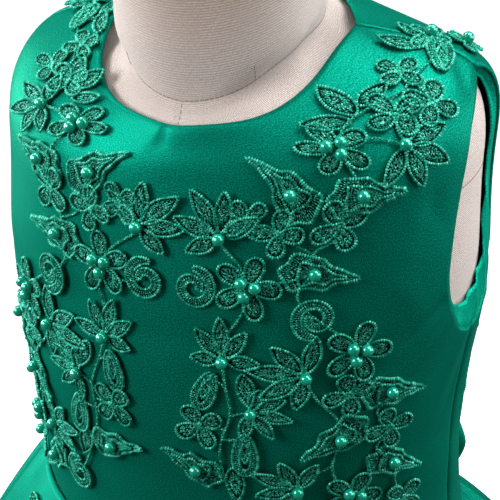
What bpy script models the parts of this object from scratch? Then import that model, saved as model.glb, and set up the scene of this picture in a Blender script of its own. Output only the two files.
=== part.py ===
"""Sleeveless satin dress with corded lace, worn on a limbless child's dress form.

Metres, +Z up, front faces -Y, and the garment's left is +X. The origin is on the floor under the form.
A place on the body is an angle round it (0 front, 90 left side, 180 back) and a height up it from the waist.
"""

import math

import bpy
import numpy as np
from mathutils import Vector, geometry

# Main heights
WAIST_HEIGHT = 0.800
FORM_BOTTOM = -0.170

# Walls and clearances
CLOTH = 0.0012
FACING = 0.0010
FACING_GAP = 0.0010
FACING_SLACK = 0.0038
FORM_SLACK = 0.0025
SEAM_GAP = 0.0002
SEAM_TURN = 0.12
FORM_CLEARANCE = 0.0022
ARMHOLE_CLEARANCE = 0.0065
SHOULDER_CLEARANCE = 0.0098
TOUCH_GAP = 0.0003

# Cut lines of the bodice, in degrees round the body and metres up it
SIDE_SEAM = 85.0
SHOULDER_SEAM = 88.0
WAIST_SIDES = -0.013
WAIST_POINT = -0.010
WAIST_BACK = -0.015
WAIST_SKEW = 0.009
UNDERARM = 0.1100
SHOULDER_TIP = 0.2125
NECK_POINT = 0.2440
FACING_WIDTH = 0.012
FACING_START = 0.0010
ARMHOLE_MIDDLE = (90.0, 0.163)
SHOULDER_START = 0.185
SHOULDER_RISE = 0.022

# Skirt
SKIRT_FOLDS = 20
SKIRT_COLUMNS_PER_FOLD = 4
GATHER_START = 61.0
GATHER_BLEND = 6.0
WAIST_RADIUS = 0.105
SKIRT_FLARE = 0.36

# Bow at the back waist
BOW_LENGTH = 0.096
BOW_HEIGHT = 0.040
BOW_DEPTH = 0.020
BOW_TIP = 0.008
LOOP_PLEAT = 0.0012
LOOP_MOUTH = 0.0022
BOW_DROOP = 0.019
BOW_SKEW = 0.007
BOW_FORWARD = 0.006
BOW_BACK = 0.1170
BOW_UP = -0.013
KNOT_SIZE = (0.025, 0.030, 0.030)
KNOT_ROUNDING = 0.006
KNOT_BACK = 0.1075
TAIL_LENGTH = 0.200
TAIL_TOP_WIDTH = 0.020
TAIL_WIDTH = 0.044
TAIL_DROP = 0.003
TAIL_START = 0.0125
TAIL_SPREAD = 0.036
TAIL_SLANT = 0.014
TAIL_LIFT = 0.0028

# Lace, in mm as it lies flat
LACE_LIFT = 0.9
LACE_WALL = 1.4
PEARL_RINGS = ((3.1, 1.2),)
PEARL_HEIGHT = 4.4
PEARL_SEAT = 4.3
SMALLEST_GAP = 12.0
SHORTEST_EDGE = 1.2
LEAST_CORNER = 3.2
LATTICE = 12.0
LATTICE_MARGIN = 2.4
PINCH_RADIUS = 1.1
LACE_TRIES = 6
MM_PER_DEGREE = 2.1
LEAF_FULLNESS = 1.12

# Dress form: where its armhole hollow lies, and how far that reaches, in degrees and metres
HOLLOW_MIDDLE = (90.0, 0.165)
HOLLOW_REACH = (32.0, 0.085)
HOLLOW_EDGE = 1.45
HOLLOW_BLEND = 0.45
FORM_COLUMNS = 30
NECK_CAP = 0.0120
NECK_CAP_INSET = 0.0015
NECK_CAP_ROUNDING = 0.0022

# Stand
POLE_RADIUS = 0.0125
BASE_RADIUS = 0.150
BASE_THICKNESS = 0.016
BASE_ROUNDING = 0.003

# Body rings: each passes a front point, a side point and a back point
# Columns: up, front_y, front_z, side_x, side_y, side_z, back_y, back_z, fullness
RINGS = (
    (-0.220, -0.1120, -0.2200, 0.1420, 0.0060, -0.2200, 0.1180, -0.2200, 2.15),
    (-0.120, -0.1080, -0.1200, 0.1370, 0.0060, -0.1200, 0.1130, -0.1200, 2.15),
    (-0.045, -0.0920, -0.0450, 0.1240, 0.0030, -0.0450, 0.0960, -0.0450, 2.12),
    (0.000, -0.0845, 0.0000, 0.1185, 0.0020, 0.0000, 0.0880, 0.0000, 2.10),
    (0.070, -0.0885, 0.0700, 0.1205, 0.0010, 0.0700, 0.0890, 0.0700, 2.10),
    (0.140, -0.0865, 0.1400, 0.1285, 0.0060, 0.1400, 0.0945, 0.1400, 2.10),
    (0.185, -0.0830, 0.1800, 0.1275, 0.0120, 0.1920, 0.0920, 0.1900, 2.15),
    (0.212, -0.0790, 0.2040, 0.1175, 0.0190, 0.2355, 0.0790, 0.2280, 2.15),
    (0.228, -0.0765, 0.2145, 0.0890, 0.0115, 0.2490, 0.0620, 0.2520, 1.90),
    (0.243, -0.0735, 0.2240, 0.0620, 0.0030, 0.2550, 0.0440, 0.2700, 1.75),
    (0.262, -0.0620, 0.2350, 0.0525, -0.0170, 0.2600, 0.0280, 0.2840, 1.95),
)

# Neckline and armholes. Columns: angle in degrees round the body, metres up it
NECKLINE = (
    (0, 0.2430), (15, 0.2415), (30, 0.2370), (42, 0.2365), (56, 0.2390), (71, 0.2425), (88, NECK_POINT),
    (105, 0.2450), (130, 0.2440), (155, 0.2425), (180, 0.2420),
)
ARMHOLE_FRONT = (
    (SHOULDER_SEAM, SHOULDER_TIP), (81, 0.2070), (74.5, 0.1980), (72, 0.1850), (70, 0.1650), (68.5, 0.1470),
    (69.5, 0.1350), (73, 0.1225), (78.5, 0.1130), (SIDE_SEAM, UNDERARM),
)
ARMHOLE_BACK = (
    (SHOULDER_SEAM, SHOULDER_TIP), (97, 0.2080), (104, 0.1980), (107, 0.1850), (108, 0.1650), (106, 0.1460),
    (101, 0.1260), (94, 0.1140), (SIDE_SEAM, UNDERARM),
)

# Skirt outline: how far it stands out from the waist at each drop below it
# Columns: drop, front_out, side_out, back_out, fold_depth, gather_depth
SKIRT_ROWS = (
    (0.000, 0.0000, 0.0000, 0.0000, 0.0000, 0.0000),
    (0.012, 0.0070, 0.0090, 0.0150, 0.0003, 0.0024),
    (0.035, 0.0190, 0.0250, 0.0410, 0.0012, 0.0040),
    (0.080, 0.0420, 0.0530, 0.0790, 0.0035, 0.0065),
    (0.150, 0.0720, 0.0880, 0.1180, 0.0070, 0.0095),
    (0.250, 0.1100, 0.1300, 0.1600, 0.0110, 0.0130),
    (0.400, 0.1580, 0.1820, 0.2100, 0.0160, 0.0175),
    (0.580, 0.2040, 0.2320, 0.2540, 0.0210, 0.0215),
)

# Lace motifs. Columns: kind, angle, up_mm, turn clockwise from straight up, reach in mm
LACE = (
    ("butterfly", 40.4, 196, 98, 30),
    ("butterfly", 24.4, 201, -30, 31),
    ("flower4", 35.6, 185, 20, 12.5),
    ("flower4", 22.5, 183, 50, 11.0),
    ("flower4", 15.5, 190, 5, 10.0),
    ("sprig", 10.4, 180, -30, 20),
    ("flower5", 16.4, 154, 20, 17.0),
    ("scroll", 5.2, 151, 0, 10.8),
    ("butterfly", 30.8, 163, 100, 30),
    ("scroll", 31.1, 138, 180, 10.8),
    ("flower5", 41.6, 119, 15, 17.0),
    ("sprig", 29.8, 107, -80, 21),
    ("butterfly", 52.0, 95, 98, 27),
    ("flower4", 40.5, 96, 30, 11.5),
    ("butterfly", 39.6, 72, -122, 30),
    ("flower4", 53.2, 74, 30, 11.5),
    ("butterfly", 55.6, 53, 116, 27),
    ("sprig", 11.3, 113, 0, 18),
    ("loop", 9.0, 105, 200, 19),
    ("leaf", 15.5, 107, 165, 18),
    ("sprig", 17.8, 87, 105, 16),
    ("flower4", 6.0, 76, 15, 12.0),
    ("loop", 16.5, 73, 180, 22),
    ("butterfly", 4.7, 50, -62, 27),
    ("sprig", 29.2, 42, -60, 18),
    ("flower5", 43.8, 36, 25, 16.0),
    ("leaf", 13.5, 54, 175, 20),
    ("scroll", 15.0, 20, 10, 10.5),
    ("butterfly", 29.0, 18, 150, 26),
    ("flower4", 60.0, 27, 0, 11.0),
    ("sprig", 49.0, 13, 175, 15),
)
# Stems and brides that tie the motifs together: points of (angle, up_mm)
STEM_WIDTH = 0.0022
STEMS = (
    ((40.4, 196), (36, 190), (36.5, 183), (30, 172), (30.8, 163)),
    ((24.4, 201), (25, 190), (25.5, 181), (31, 172)),
    ((17.5, 190), (14, 183), (10.4, 180), (14, 168), (16.4, 154)),
    ((15.5, 190), (22.5, 183)),
    ((5.5, 151), (12, 148), (16.4, 154), (24, 158), (30.8, 163)),
    ((30.8, 163), (27, 150), (31, 138), (37, 128), (41.6, 119)),
    ((16.4, 154), (15, 138), (12, 126), (11.3, 113), (12, 98), (13, 84), (11, 70), (11, 50), (15, 20)),
    ((31, 128), (29.8, 107), (34, 92), (38, 84), (39.6, 72), (38, 56), (40, 44), (43.8, 36)),
    ((41.6, 119), (44, 104), (52, 95), (49, 84), (53.6, 75), (50, 64), (55.6, 53), (57, 38), (61, 27)),
    ((41, 95), (44, 104)),
    ((29.2, 42), (30, 30), (29, 20), (22, 16), (15, 20)),
    ((43.8, 36), (47, 26), (50, 16)),
    ((29.2, 42), (34, 52), (38, 56)),
    ((50, 16), (57, 20), (61, 27)),
    ((4.7, 50), (11, 50)),
    ((17.8, 87), (13, 84)),
    ((9.5, 103), (12, 99)),
    ((6, 76), (12, 76)),
    ((16, 71), (11, 70)),
)
# The right half is the mirror of the left one, laid with a lean in degrees a metre
RIGHT_LEAN = 130.0
RIGHT_PIVOT_UP = 0.146
LEAN_TURN = 14.0

# Lace over the left shoulder, which runs on from the left half
YOKE_LEFT = (
    ("flower5", 38.6, 215, 8, 16.5),
    ("leaf", 49.5, 222, 8, 24),
    ("leaf", 47.5, 221, -60, 21),
    ("leaf", 52.5, 224, 85, 18),
    ("sprig", 52.9, 208, 132, 20),
    ("flower4", 56.5, 217, 45, 12.5),
    ("flower4", 66.2, 214, 10, 12.0),
    ("flower4", 68.9, 225, 45, 10.5),
    ("loop", 77.5, 219, 62, 21),
    ("leaf", 82.0, 226, -15, 20),
    ("leaf", 87.0, 228, 50, 18),
    ("bud", 101.5, 218, 20, 10.0),
    ("bud", 92.5, 226, 60, 10.0),
)
YOKE_LEFT_STEMS = (
    ((101.5, 218), (96, 222), (92.5, 226), (82, 223), (72, 222), (62, 221), (52, 222), (44, 220), (38, 215)),
    ((52.9, 208), (47, 214), (40, 215)),
    ((38, 212), (40, 196)),
    ((66.2, 214), (68, 220), (68.9, 225)),
)
YOKE_RIGHT = (
    ("flower5", -28.8, 219, -8, 16.5),
    ("leaf", -43.0, 226, -5, 23),
    ("leaf", -45.0, 227, -58, 21),
    ("leaf", -38.5, 224, 25, 16),
    ("sprig", -41.7, 215, -132, 20),
    ("flower4", -46.0, 226, 45, 11.5),
    ("flower4", -55.0, 223, 10, 11.0),
    ("flower4", -60.0, 233, 45, 10.5),
    ("loop", -70.0, 230, -62, 20),
    ("leaf", -64.0, 238, -80, 18),
    ("leaf", -74.0, 238, -60, 18),
    ("bud", -86.5, 231, 20, 10.0),
    ("bud", -97.0, 225, 60, 10.0),
)
YOKE_RIGHT_STEMS = (
    ((-97, 225), (-91, 229), (-86.5, 231), (-78, 231), (-70, 231), (-60, 231), (-50, 228), (-40, 225), (-29, 219)),
    ((-41.7, 215), (-36, 218), (-29, 219)),
    ((-29, 216), (-30, 206), (-33.5, 196)),
    ((-64, 238), (-61, 233)),
    ((-74, 238), (-72, 231)),
    ((-55, 223), (-50, 228)),
)

# Lace of the back, left half
BACK_LACE = (
    ("flower5", 150.0, 205, 0, 16.0),
    ("sprig", 137.0, 196, 60, 18),
    ("butterfly", 152.0, 176, 200, 28),
    ("flower4", 138.0, 174, 20, 11.5),
    ("scroll", 146.0, 150, 0, 10.6),
    ("flower5", 135.0, 134, 10, 16.0),
    ("sprig", 121.0, 128, 90, 18),
    ("butterfly", 136.0, 106, 170, 28),
    ("flower4", 120.0, 103, 30, 11.5),
    ("sprig", 115.0, 84, 60, 16),
    ("flower5", 130.0, 74, 15, 16.0),
    ("butterfly", 117.0, 50, 130, 27),
    ("leaf", 133.0, 56, 190, 19),
    ("flower4", 135.0, 32, 10, 11.0),
    ("sprig", 122.0, 24, 90, 15),
)
BACK_STEMS = (
    ((150, 205), (152, 192), (152, 178), (148, 164), (146, 150), (140, 142), (136, 136), (135, 122), (134, 108),
     (131, 92), (130, 78), (132, 60), (133, 46), (134, 34)),
    ((150, 205), (144, 199), (137, 196)),
    ((152, 178), (146, 174), (139, 174)),
    ((136, 136), (129, 132), (122, 128)),
    ((134, 108), (127, 104), (120, 102), (117, 93), (116, 84)),
    ((130, 78), (124, 64), (120, 52), (121, 38), (122, 26)),
)
# Lace that runs over the waist seam on to the skirt: angle, and mm below the seam as minus
SKIRT_LACE_LIFT = 1.1
SKIRT_LACE = (
    ("sprig", 49.0, -17, 170, 18),
    ("leaf", 54.0, -26, 195, 17),
    ("flower4", 43.0, -15, 20, 10.5),
)
SKIRT_STEMS = (
    ((43, -15), (49, -17), (52, -24), (54, -30)),
)

# Form rings, as heights up the body, and the neck stub: y, z, half width, half depth, tilt in degrees
FORM_ROWS = (-0.170, -0.110, -0.060, -0.025, 0.000, 0.028, 0.065, 0.095, 0.120, 0.145, 0.168, 0.185,
             0.198, 0.208, 0.217, 0.226, 0.235, 0.244, 0.253, 0.262)
NECK_FOOT = np.array([-0.0176, 0.2593, 0.0529, 0.0519, 29.0])
NECK_TOP = np.array([-0.0230, 0.3300, 0.0470, 0.0480, 8.0])
NECK_SHARES = (0.08, 0.3, 0.65, 1.0)

SATIN = (0.004, 0.300, 0.165)
LACE_GREEN = (0.012, 0.390, 0.235)
JERSEY = (0.740, 0.640, 0.590)
WOOD = (0.550, 0.380, 0.220)
STEEL = (0.640, 0.640, 0.640)


def spline_through(rows):
    """Natural cubic spline of a table's other columns against its first one."""
    table = np.array(rows, float)
    xs, ys = table[:, 0], table[:, 1:]
    count = len(xs)
    step = np.diff(xs)
    matrix = np.eye(count)
    right = np.zeros_like(ys)
    for i in range(1, count - 1):
        matrix[i, i - 1:i + 2] = step[i - 1], 2 * (step[i - 1] + step[i]), step[i]
        right[i] = 3 * ((ys[i + 1] - ys[i]) / step[i] - (ys[i] - ys[i - 1]) / step[i - 1])
    second = np.linalg.solve(matrix, right)
    first = (ys[1:] - ys[:-1]) / step[:, None] - step[:, None] * (2 * second[:-1] + second[1:]) / 3
    third = (second[1:] - second[:-1]) / (3 * step[:, None])

    def at(x):
        x = np.asarray(x, float)
        i = np.clip(np.searchsorted(xs, x) - 1, 0, count - 2)
        t = (x - xs[i])[..., None]
        return ys[i] + first[i] * t + second[i] * t ** 2 + third[i] * t ** 3

    return at


ring_at = spline_through(RINGS)
skirt_at = spline_through(SKIRT_ROWS)


def body_point(angle, up):
    """Point of the body surface: angle in radians round it, up in metres."""
    front_y, front_z, side_x, side_y, side_z, back_y, back_z, full = np.moveaxis(ring_at(up), -1, 0)
    cosine, sine = np.cos(angle), np.sin(angle)
    along = np.abs(cosine) ** (2 / full)
    across = np.sign(sine) * np.abs(sine) ** (2 / full)
    end_y = np.where(cosine > 0, front_y, back_y)
    end_z = np.where(cosine > 0, front_z, back_z)
    return np.stack([side_x * across, side_y + (end_y - side_y) * along,
                     side_z + (end_z - side_z) * along ** 1.5 + WAIST_HEIGHT], axis=-1)


def with_normal(surface, a, b, out):
    """Point of a surface moved out along its normal, which is measured by small steps."""
    step = 1e-4
    along_a = surface(a + step, b) - surface(a - step, b)
    along_b = surface(a, b + step) - surface(a, b - step)
    normal = np.cross(along_a, along_b)
    normal /= np.linalg.norm(normal, axis=-1, keepdims=True)
    return surface(a, b) + normal * np.asarray(out)[..., None]


def body(degrees, up, out=0.0):
    angle, up, out = np.broadcast_arrays(np.radians(np.asarray(degrees, float)), up, out)
    return with_normal(body_point, angle, np.asarray(up, float), out)


def waist_line(degrees):
    """Height of the waist seam: lower at the front and back, and lower on the left than on the right."""
    angle = np.radians(degrees)
    front = np.clip(np.cos(angle), 0, 1) ** 3
    back = np.clip(-np.cos(angle), 0, 1) ** 2
    return WAIST_SIDES + WAIST_POINT * front + WAIST_BACK * back - WAIST_SKEW * np.sin(angle)


def curve_through(points, count):
    """Even steps along a smooth curve through hand-set points."""
    points = np.array(points, float)
    metric = np.array([MM_PER_DEGREE / 1000, 1.0])
    lengths = np.linalg.norm(np.diff(points * metric, axis=0), axis=1)
    travelled = np.concatenate([[0], np.cumsum(lengths)])
    at = spline_through(np.column_stack([travelled, points]))
    return at(np.linspace(0, travelled[-1], count))


# Scene, collections and materials

def clear_scene():
    for obj in list(bpy.data.objects):
        bpy.data.objects.remove(obj, do_unlink=True)


def material(name, colour, roughness, metallic=0.0, sheen=0.0):
    made = bpy.data.materials.new(name)
    made.use_nodes = True
    shader = made.node_tree.nodes["Principled BSDF"]
    shader.inputs["Base Color"].default_value = (*colour, 1.0)
    shader.inputs["Roughness"].default_value = roughness
    shader.inputs["Metallic"].default_value = metallic
    shader.inputs["Sheen Weight"].default_value = sheen
    made.diffuse_color = (*colour, 1.0)
    return made


def add_object(name, points, faces, finish, smooth=True):
    mesh = bpy.data.meshes.new(name)
    mesh.from_pydata([tuple(map(float, p)) for p in points], [], [tuple(map(int, f)) for f in faces])
    mesh.validate()
    if smooth:
        mesh.shade_smooth()
    mesh.materials.append(finish)
    obj = bpy.data.objects.new(name, mesh)
    dress.objects.link(obj)
    return obj


def solidify(obj, thickness, offset=-1.0):
    wall = obj.modifiers.new("wall", "SOLIDIFY")
    wall.thickness = thickness
    wall.offset = offset
    wall.use_even_offset = True
    wall.use_rim = True
    return obj


def grid_faces(rows, columns, around=False):
    """Quads of a grid, counted row by row, facing out when columns run left to right and rows run up."""
    last = columns if around else columns - 1
    return [(r * columns + c, r * columns + (c + 1) % columns,
             (r + 1) * columns + (c + 1) % columns, (r + 1) * columns + c)
            for r in range(rows - 1) for c in range(last)]


# Cut panels of the bodice

def coons(bottom, top, left, right):
    """Grid filled between four edges: rows run up, columns run left to right."""
    rows, columns = len(left), len(bottom)
    u = np.linspace(0, 1, columns)[None, :, None]
    v = np.linspace(0, 1, rows)[:, None, None]
    corners = ((1 - u) * (1 - v) * bottom[0] + u * (1 - v) * bottom[-1]
               + (1 - u) * v * top[0] + u * v * top[-1])
    return ((1 - v) * bottom[None] + v * top[None] + (1 - u) * left[:, None] + u * right[:, None] - corners)


def neckline(start, end, count):
    """Neckline between two angles, read from its own smooth curve."""
    at = spline_through(NECKLINE)
    angles = np.linspace(start, end, count)
    return np.column_stack([angles, at(np.abs(angles))])


def outer_edge(seam_rows, armhole, arm_rows, side):
    """Side seam from the waist to the underarm, then the armhole up to the shoulder tip."""
    foot = (SIDE_SEAM, float(waist_line(side * SIDE_SEAM)) + SEAM_GAP)
    seam = np.linspace(foot, (SIDE_SEAM, UNDERARM), seam_rows)
    arm = curve_through(armhole[::-1], arm_rows)
    return np.concatenate([seam[:-1], arm])


def half_front(side):
    """Half of the front panel, from the centre line to the side seam, as (angle, up), for side 1 or -1."""
    neck_columns, seam_columns = 8, 4
    columns = neck_columns + seam_columns - 1
    right = outer_edge(6, ARMHOLE_FRONT, 11, side)
    angles = np.linspace(0, SIDE_SEAM, columns)
    bottom = np.column_stack([angles, waist_line(side * angles) + SEAM_GAP])
    shoulder = np.linspace((SHOULDER_SEAM, NECK_POINT), (SHOULDER_SEAM, SHOULDER_TIP), seam_columns)
    top = np.concatenate([neckline(0, SHOULDER_SEAM, neck_columns)[:-1], shoulder])
    left = np.column_stack([np.zeros(len(right)), np.linspace(bottom[0, 1], top[0, 1], len(right))])
    return coons(bottom, top, left, right)


def half_back(side):
    """A back panel, from the side seam to the centre-back seam, as (angle, up), for side 1 or -1."""
    neck_columns, seam_columns = 7, 4
    columns = neck_columns + seam_columns - 1
    left = outer_edge(6, ARMHOLE_BACK, 11, side)
    angles = np.linspace(SIDE_SEAM, 180.0, columns)
    bottom = np.column_stack([angles, waist_line(side * angles) + SEAM_GAP])
    shoulder = np.linspace((SHOULDER_SEAM, SHOULDER_TIP), (SHOULDER_SEAM, NECK_POINT), seam_columns)
    top = np.concatenate([shoulder[:-1], neckline(SHOULDER_SEAM, 180.0, neck_columns)])
    right = np.column_stack([np.full(len(left), 180.0), np.linspace(bottom[-1, 1], top[-1, 1], len(left))])
    return coons(bottom, top, left, right)


def mirrored(grid):
    """The same grid on the other side of the body."""
    return np.stack([-grid[:, ::-1, 0], grid[:, ::-1, 1]], axis=-1)


def panel(name, grid, finish):
    """A panel whose outer face lies on the body surface and whose wall goes inward."""
    rows, columns = grid.shape[:2]
    points = body(grid[..., 0], grid[..., 1]).reshape(-1, 3)
    return solidify(add_object(name, points, grid_faces(rows, columns), finish), CLOTH)


def nudge(grid):
    """Draws a panel in by half a seam gap at its side, shoulder and centre-back seams."""
    moved = grid.copy()
    middle = (grid[:, :1, 0] + grid[:, -1:, 0]) / 2
    share = (grid[..., 0] - middle) / np.maximum(np.abs(grid[:, -1:, 0] - middle), 1.0)
    share[grid[..., 0] < 1.0] = 0.0
    moved[..., 0] -= share * SEAM_TURN * (1 + 1.3 * shoulder_share(grid[..., 1]))
    return moved


def make_bodice(satin):
    left, right = (nudge(half_front(side)) for side in (1, -1))
    panel("bodice_front", np.concatenate([mirrored(right)[:, :-1], left], axis=1), satin)
    panel("bodice_back_left", nudge(half_back(1)), satin)
    panel("bodice_back_right", mirrored(nudge(half_back(-1))), satin)


def shoulder_share(up):
    """0 below the shoulders and 1 on them, where the cloth bends most."""
    share = np.clip((up - SHOULDER_START) / SHOULDER_RISE, 0, 1)
    return share * share * (3 - 2 * share)


def make_facings(satin):
    """A band inside each armhole, which shows where the cloth stands off the form."""
    loop = np.concatenate([curve_through(ARMHOLE_FRONT[::-1], 14)[:-1], curve_through(ARMHOLE_BACK, 16)[:-1]])
    metric = np.array([MM_PER_DEGREE / 1000, 1.0])
    away = (loop - np.array(ARMHOLE_MIDDLE)) * metric
    away /= np.linalg.norm(away, axis=1, keepdims=True)
    for side, name in ((1, "armhole_facing_left"), (-1, "armhole_facing_right")):
        rings = [loop + away * reach / metric for reach in (FACING_START, FACING_WIDTH)]
        grid = np.stack(rings)
        inside = CLOTH + FACING_GAP + FACING_SLACK * shoulder_share(grid[..., 1])
        points = body(side * grid[..., 0], grid[..., 1], -inside).reshape(-1, 3)
        faces = grid_faces(len(rings), len(loop), around=True)
        if side < 0:
            faces = [face[::-1] for face in faces]
        solidify(add_object(name, points, faces, satin), FACING)


# Skirt

def fold_wave(degrees):
    """Uneven ripples round the skirt, from -1 to 1."""
    angle = np.radians(degrees)
    phase = SKIRT_FOLDS * angle + 0.9 * np.sin(2 * angle + 0.4) + 0.6 * np.sin(5 * angle + 1.3)
    return np.cos(phase) * (0.80 + 0.20 * np.sin(3 * angle + 2.0))


def skirt_point(angle, drop, ripple=1.0, lift=0.0):
    """Point of the skirt surface: angle in radians, drop in metres below the waist seam."""
    degrees = np.degrees(angle)
    front_out, side_out, back_out, fold, gather = np.moveaxis(skirt_at(drop), -1, 0)
    cosine = np.cos(angle)
    end_out = np.where(cosine > 0, front_out, back_out)
    out = side_out + (end_out - side_out) * cosine ** 2
    turned = (degrees + 180) % 360 - 180
    gathered = 1 / (1 + np.exp(-(np.abs(turned) - GATHER_START) / GATHER_BLEND))
    seam = waist_line(turned)
    start = body_point(angle, seam)
    radial = start[..., :2] / np.linalg.norm(start[..., :2], axis=-1, keepdims=True)
    depth = fold + (gather - fold) * gathered
    reach = out + fold_wave(degrees) * depth * ripple + depth * (1 - ripple) + lift
    place = start[..., :2] + radial * reach[..., None]
    shorten = 1 + seam / SKIRT_ROWS[-1][0]
    return np.concatenate([place, (start[..., 2] - drop * shorten)[..., None]], axis=-1)


def skirt_panel(name, start, end, columns, finish):
    drops = np.array([row[0] for row in SKIRT_ROWS])[::-1]
    drops[-1] = SEAM_GAP
    inset = np.degrees(SEAM_GAP / (WAIST_RADIUS + SKIRT_FLARE * drops))
    angles = np.radians(np.linspace(start + inset, end - inset, columns, axis=1))
    points = skirt_point(angles, np.repeat(drops[:, None], columns, axis=1)).reshape(-1, 3)
    return solidify(add_object(name, points, grid_faces(len(drops), columns), finish), CLOTH)


def make_skirt(satin):
    per_degree = SKIRT_FOLDS * SKIRT_COLUMNS_PER_FOLD / 360
    for name, start, end in (("skirt_front", -SIDE_SEAM, SIDE_SEAM), ("skirt_back_left", SIDE_SEAM, 180.0),
                             ("skirt_back_right", 180.0, 360 - SIDE_SEAM)):
        skirt_panel(name, start, end, round((end - start) * per_degree) + 1, satin)


# Lace

def leaf(length, width, steps=2):
    """Pointed oval from its stalk at the origin up to its tip."""
    shares = np.linspace(0, 1, steps + 2)[1:-1]
    half = np.sin(math.pi * shares ** 0.85) ** 0.8 * width * LEAF_FULLNESS / 2
    right = [(w, s * length) for w, s in zip(half, shares)]
    left = [(-w, s * length) for w, s in zip(half[::-1], shares[::-1])]
    return np.array([(0, -0.6)] + right + [(0, length)] + left)


def petal(length, width, steps=5):
    """Rounded petal whose narrow end is at the origin."""
    turns = np.linspace(-math.pi, math.pi, steps + 1)[:-1]
    rise = (1 + np.cos(turns)) / 2
    return np.column_stack([np.sin(turns) * width / 2 * (0.45 + 0.55 * rise), rise * length])


def turned(outline, degrees, shift=(0.0, 0.0)):
    """Outline turned clockwise about the origin, then moved."""
    angle = math.radians(degrees)
    matrix = np.array([[math.cos(angle), -math.sin(angle)], [math.sin(angle), math.cos(angle)]])
    return outline @ matrix + np.array(shift)


def band(points, width):
    """Outline of a band of even width along a line."""
    points = np.array(points, float)
    ahead = np.gradient(points, axis=0)
    ahead /= np.linalg.norm(ahead, axis=1, keepdims=True)
    side = np.column_stack([ahead[:, 1], -ahead[:, 0]]) * width / 2
    return np.concatenate([points + side, (points - side)[::-1]])


def disc(radius, centre=(0.0, 0.0), sides=6):
    turns = np.arange(sides) * 2 * math.pi / sides
    return np.column_stack([np.cos(turns), np.sin(turns)]) * radius + np.array(centre)


# Each motif gives its outlines and its pearls in mm, drawn upright about its own origin

def flower5(size):
    petals = [turned(petal(size * 0.95, size * 0.66), 72 * i) for i in range(5)]
    pearls = [(-0.20 * size, 0.10 * size), (0.19 * size, 0.13 * size), (0.01 * size, -0.23 * size)]
    return petals + [disc(size * 0.30)], pearls


def flower4(size):
    petals = [turned(petal(size * 1.05, size * 0.92, 6), 45 + 90 * i) for i in range(4)]
    return petals + [disc(size * 0.25)], []


def sprig(size):
    fans = ((-80, 0.80), (-38, 1.0), (4, 0.92), (46, 1.0), (92, 0.85))
    leaves = [turned(leaf(size * reach, size * 0.40), turn) for turn, reach in fans]
    return leaves + [disc(size * 0.22)], [(0.0, 0.0)]


def butterfly(size):
    wing = np.array([(-0.02, 0.66), (0.07, 0.60), (0.10, 0.38), (0.24, 0.22), (0.27, -0.06), (0.33, -0.32),
                     (0.10, -0.50), (-0.10, -0.44), (-0.26, -0.30), (-0.24, 0.02), (-0.15, 0.22), (-0.08, 0.44)])
    return [wing * size], [(0.0, 0.0)]


def scroll(size):
    turns = np.linspace(0.0, 1.30, 12)
    radius = size * (0.92 - 0.50 * turns)
    angle = 2 * math.pi * turns
    coil = np.column_stack([radius * np.sin(angle), radius * np.cos(angle)])
    return [band(coil[:9], size * 0.42), band(coil[8:], size * 0.36)], []


def loop(size):
    turns = np.linspace(0, 2 * math.pi, 9, endpoint=False)
    ring = np.column_stack([np.sin(turns) * size * 0.26, (0.5 - 0.5 * np.cos(turns)) * size])
    ring[:, 0] *= 0.55 + 0.45 * ring[:, 1] / size
    return [band(np.concatenate([ring, ring[:1]]), size * 0.16), leaf(size * 0.72, size * 0.22)], []


def single_leaf(size):
    return [leaf(size, size * 0.42)], []


def bud(size):
    return flower4(size)[0], [(0.0, 0.0)]


MOTIFS = {"flower5": flower5, "flower4": flower4, "sprig": sprig, "butterfly": butterfly,
          "scroll": scroll, "loop": loop, "leaf": single_leaf, "bud": bud}


def place_on_body(outline_mm, degrees, up, turn):
    """Motif points in mm, turned and laid on the body about one place, as (angle, up)."""
    step = 1e-3
    here = body(degrees, up)
    per_degree = np.linalg.norm(body(degrees + 0.5, up) - body(degrees - 0.5, up))
    per_up = np.linalg.norm(body(degrees, up + step) - here) / step
    flat = turned(np.asarray(outline_mm, float) / 1000, turn)
    return np.column_stack([degrees + flat[:, 0] / per_degree, up + flat[:, 1] / per_up])


def lay_lace(rows, stems, side=1, lean=0.0):
    """Outlines and pearls of some lace, as (angle, up). Side -1 mirrors it, and lean turns it in degrees a metre."""
    flip = np.array([side, 1.0])

    def placed(degrees, up):
        return side * degrees + lean * (up - RIGHT_PIVOT_UP), up

    outlines, pearls = [], []
    for kind, degrees, up_mm, turn, size in rows:
        shapes, beads = MOTIFS[kind](size)
        centre = placed(degrees, up_mm / 1000)
        facing = side * turn + (LEAN_TURN if lean else 0.0)
        outlines += [place_on_body(shape * flip, *centre, facing) for shape in shapes]
        if beads:
            pearls.extend(place_on_body(np.array(beads) * flip, *centre, facing))
    for stem in stems:
        outlines.append(band_on_body(np.array([placed(degrees, up / 1000) for degrees, up in stem])))
    return outlines, pearls


def joined_lace(*parts):
    return sum((part[0] for part in parts), []), sum((part[1] for part in parts), [])


def band_on_body(points):
    metric = np.array([MM_PER_DEGREE / 1000, 1.0])
    return band(points * metric, STEM_WIDTH) / metric


def contains(middle, points, edges):
    """Which of the given places lie inside the closed lines, by counting the lines above each one."""
    ends = points[edges]
    x1, y1, x2, y2 = ends[:, 0, 0], ends[:, 0, 1], ends[:, 1, 0], ends[:, 1, 1]
    x, y = middle[:, 0, None], middle[:, 1, None]
    spans = (x1 > x) != (x2 > x)
    with np.errstate(divide="ignore", invalid="ignore"):
        height = y1 + (y2 - y1) * (x - x1) / (x2 - x1)
    return np.count_nonzero(spans & (height > y), axis=1) % 2 == 1


def border_edges(faces):
    """Edges that only one of the triangles has, in that triangle's direction."""
    ends = np.concatenate([faces[:, [0, 1]], faces[:, [1, 2]], faces[:, [2, 0]]])
    _, index, count = np.unique(np.sort(ends, axis=1), axis=0, return_inverse=True, return_counts=True)
    return ends[count[index.reshape(-1)] == 1]


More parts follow.
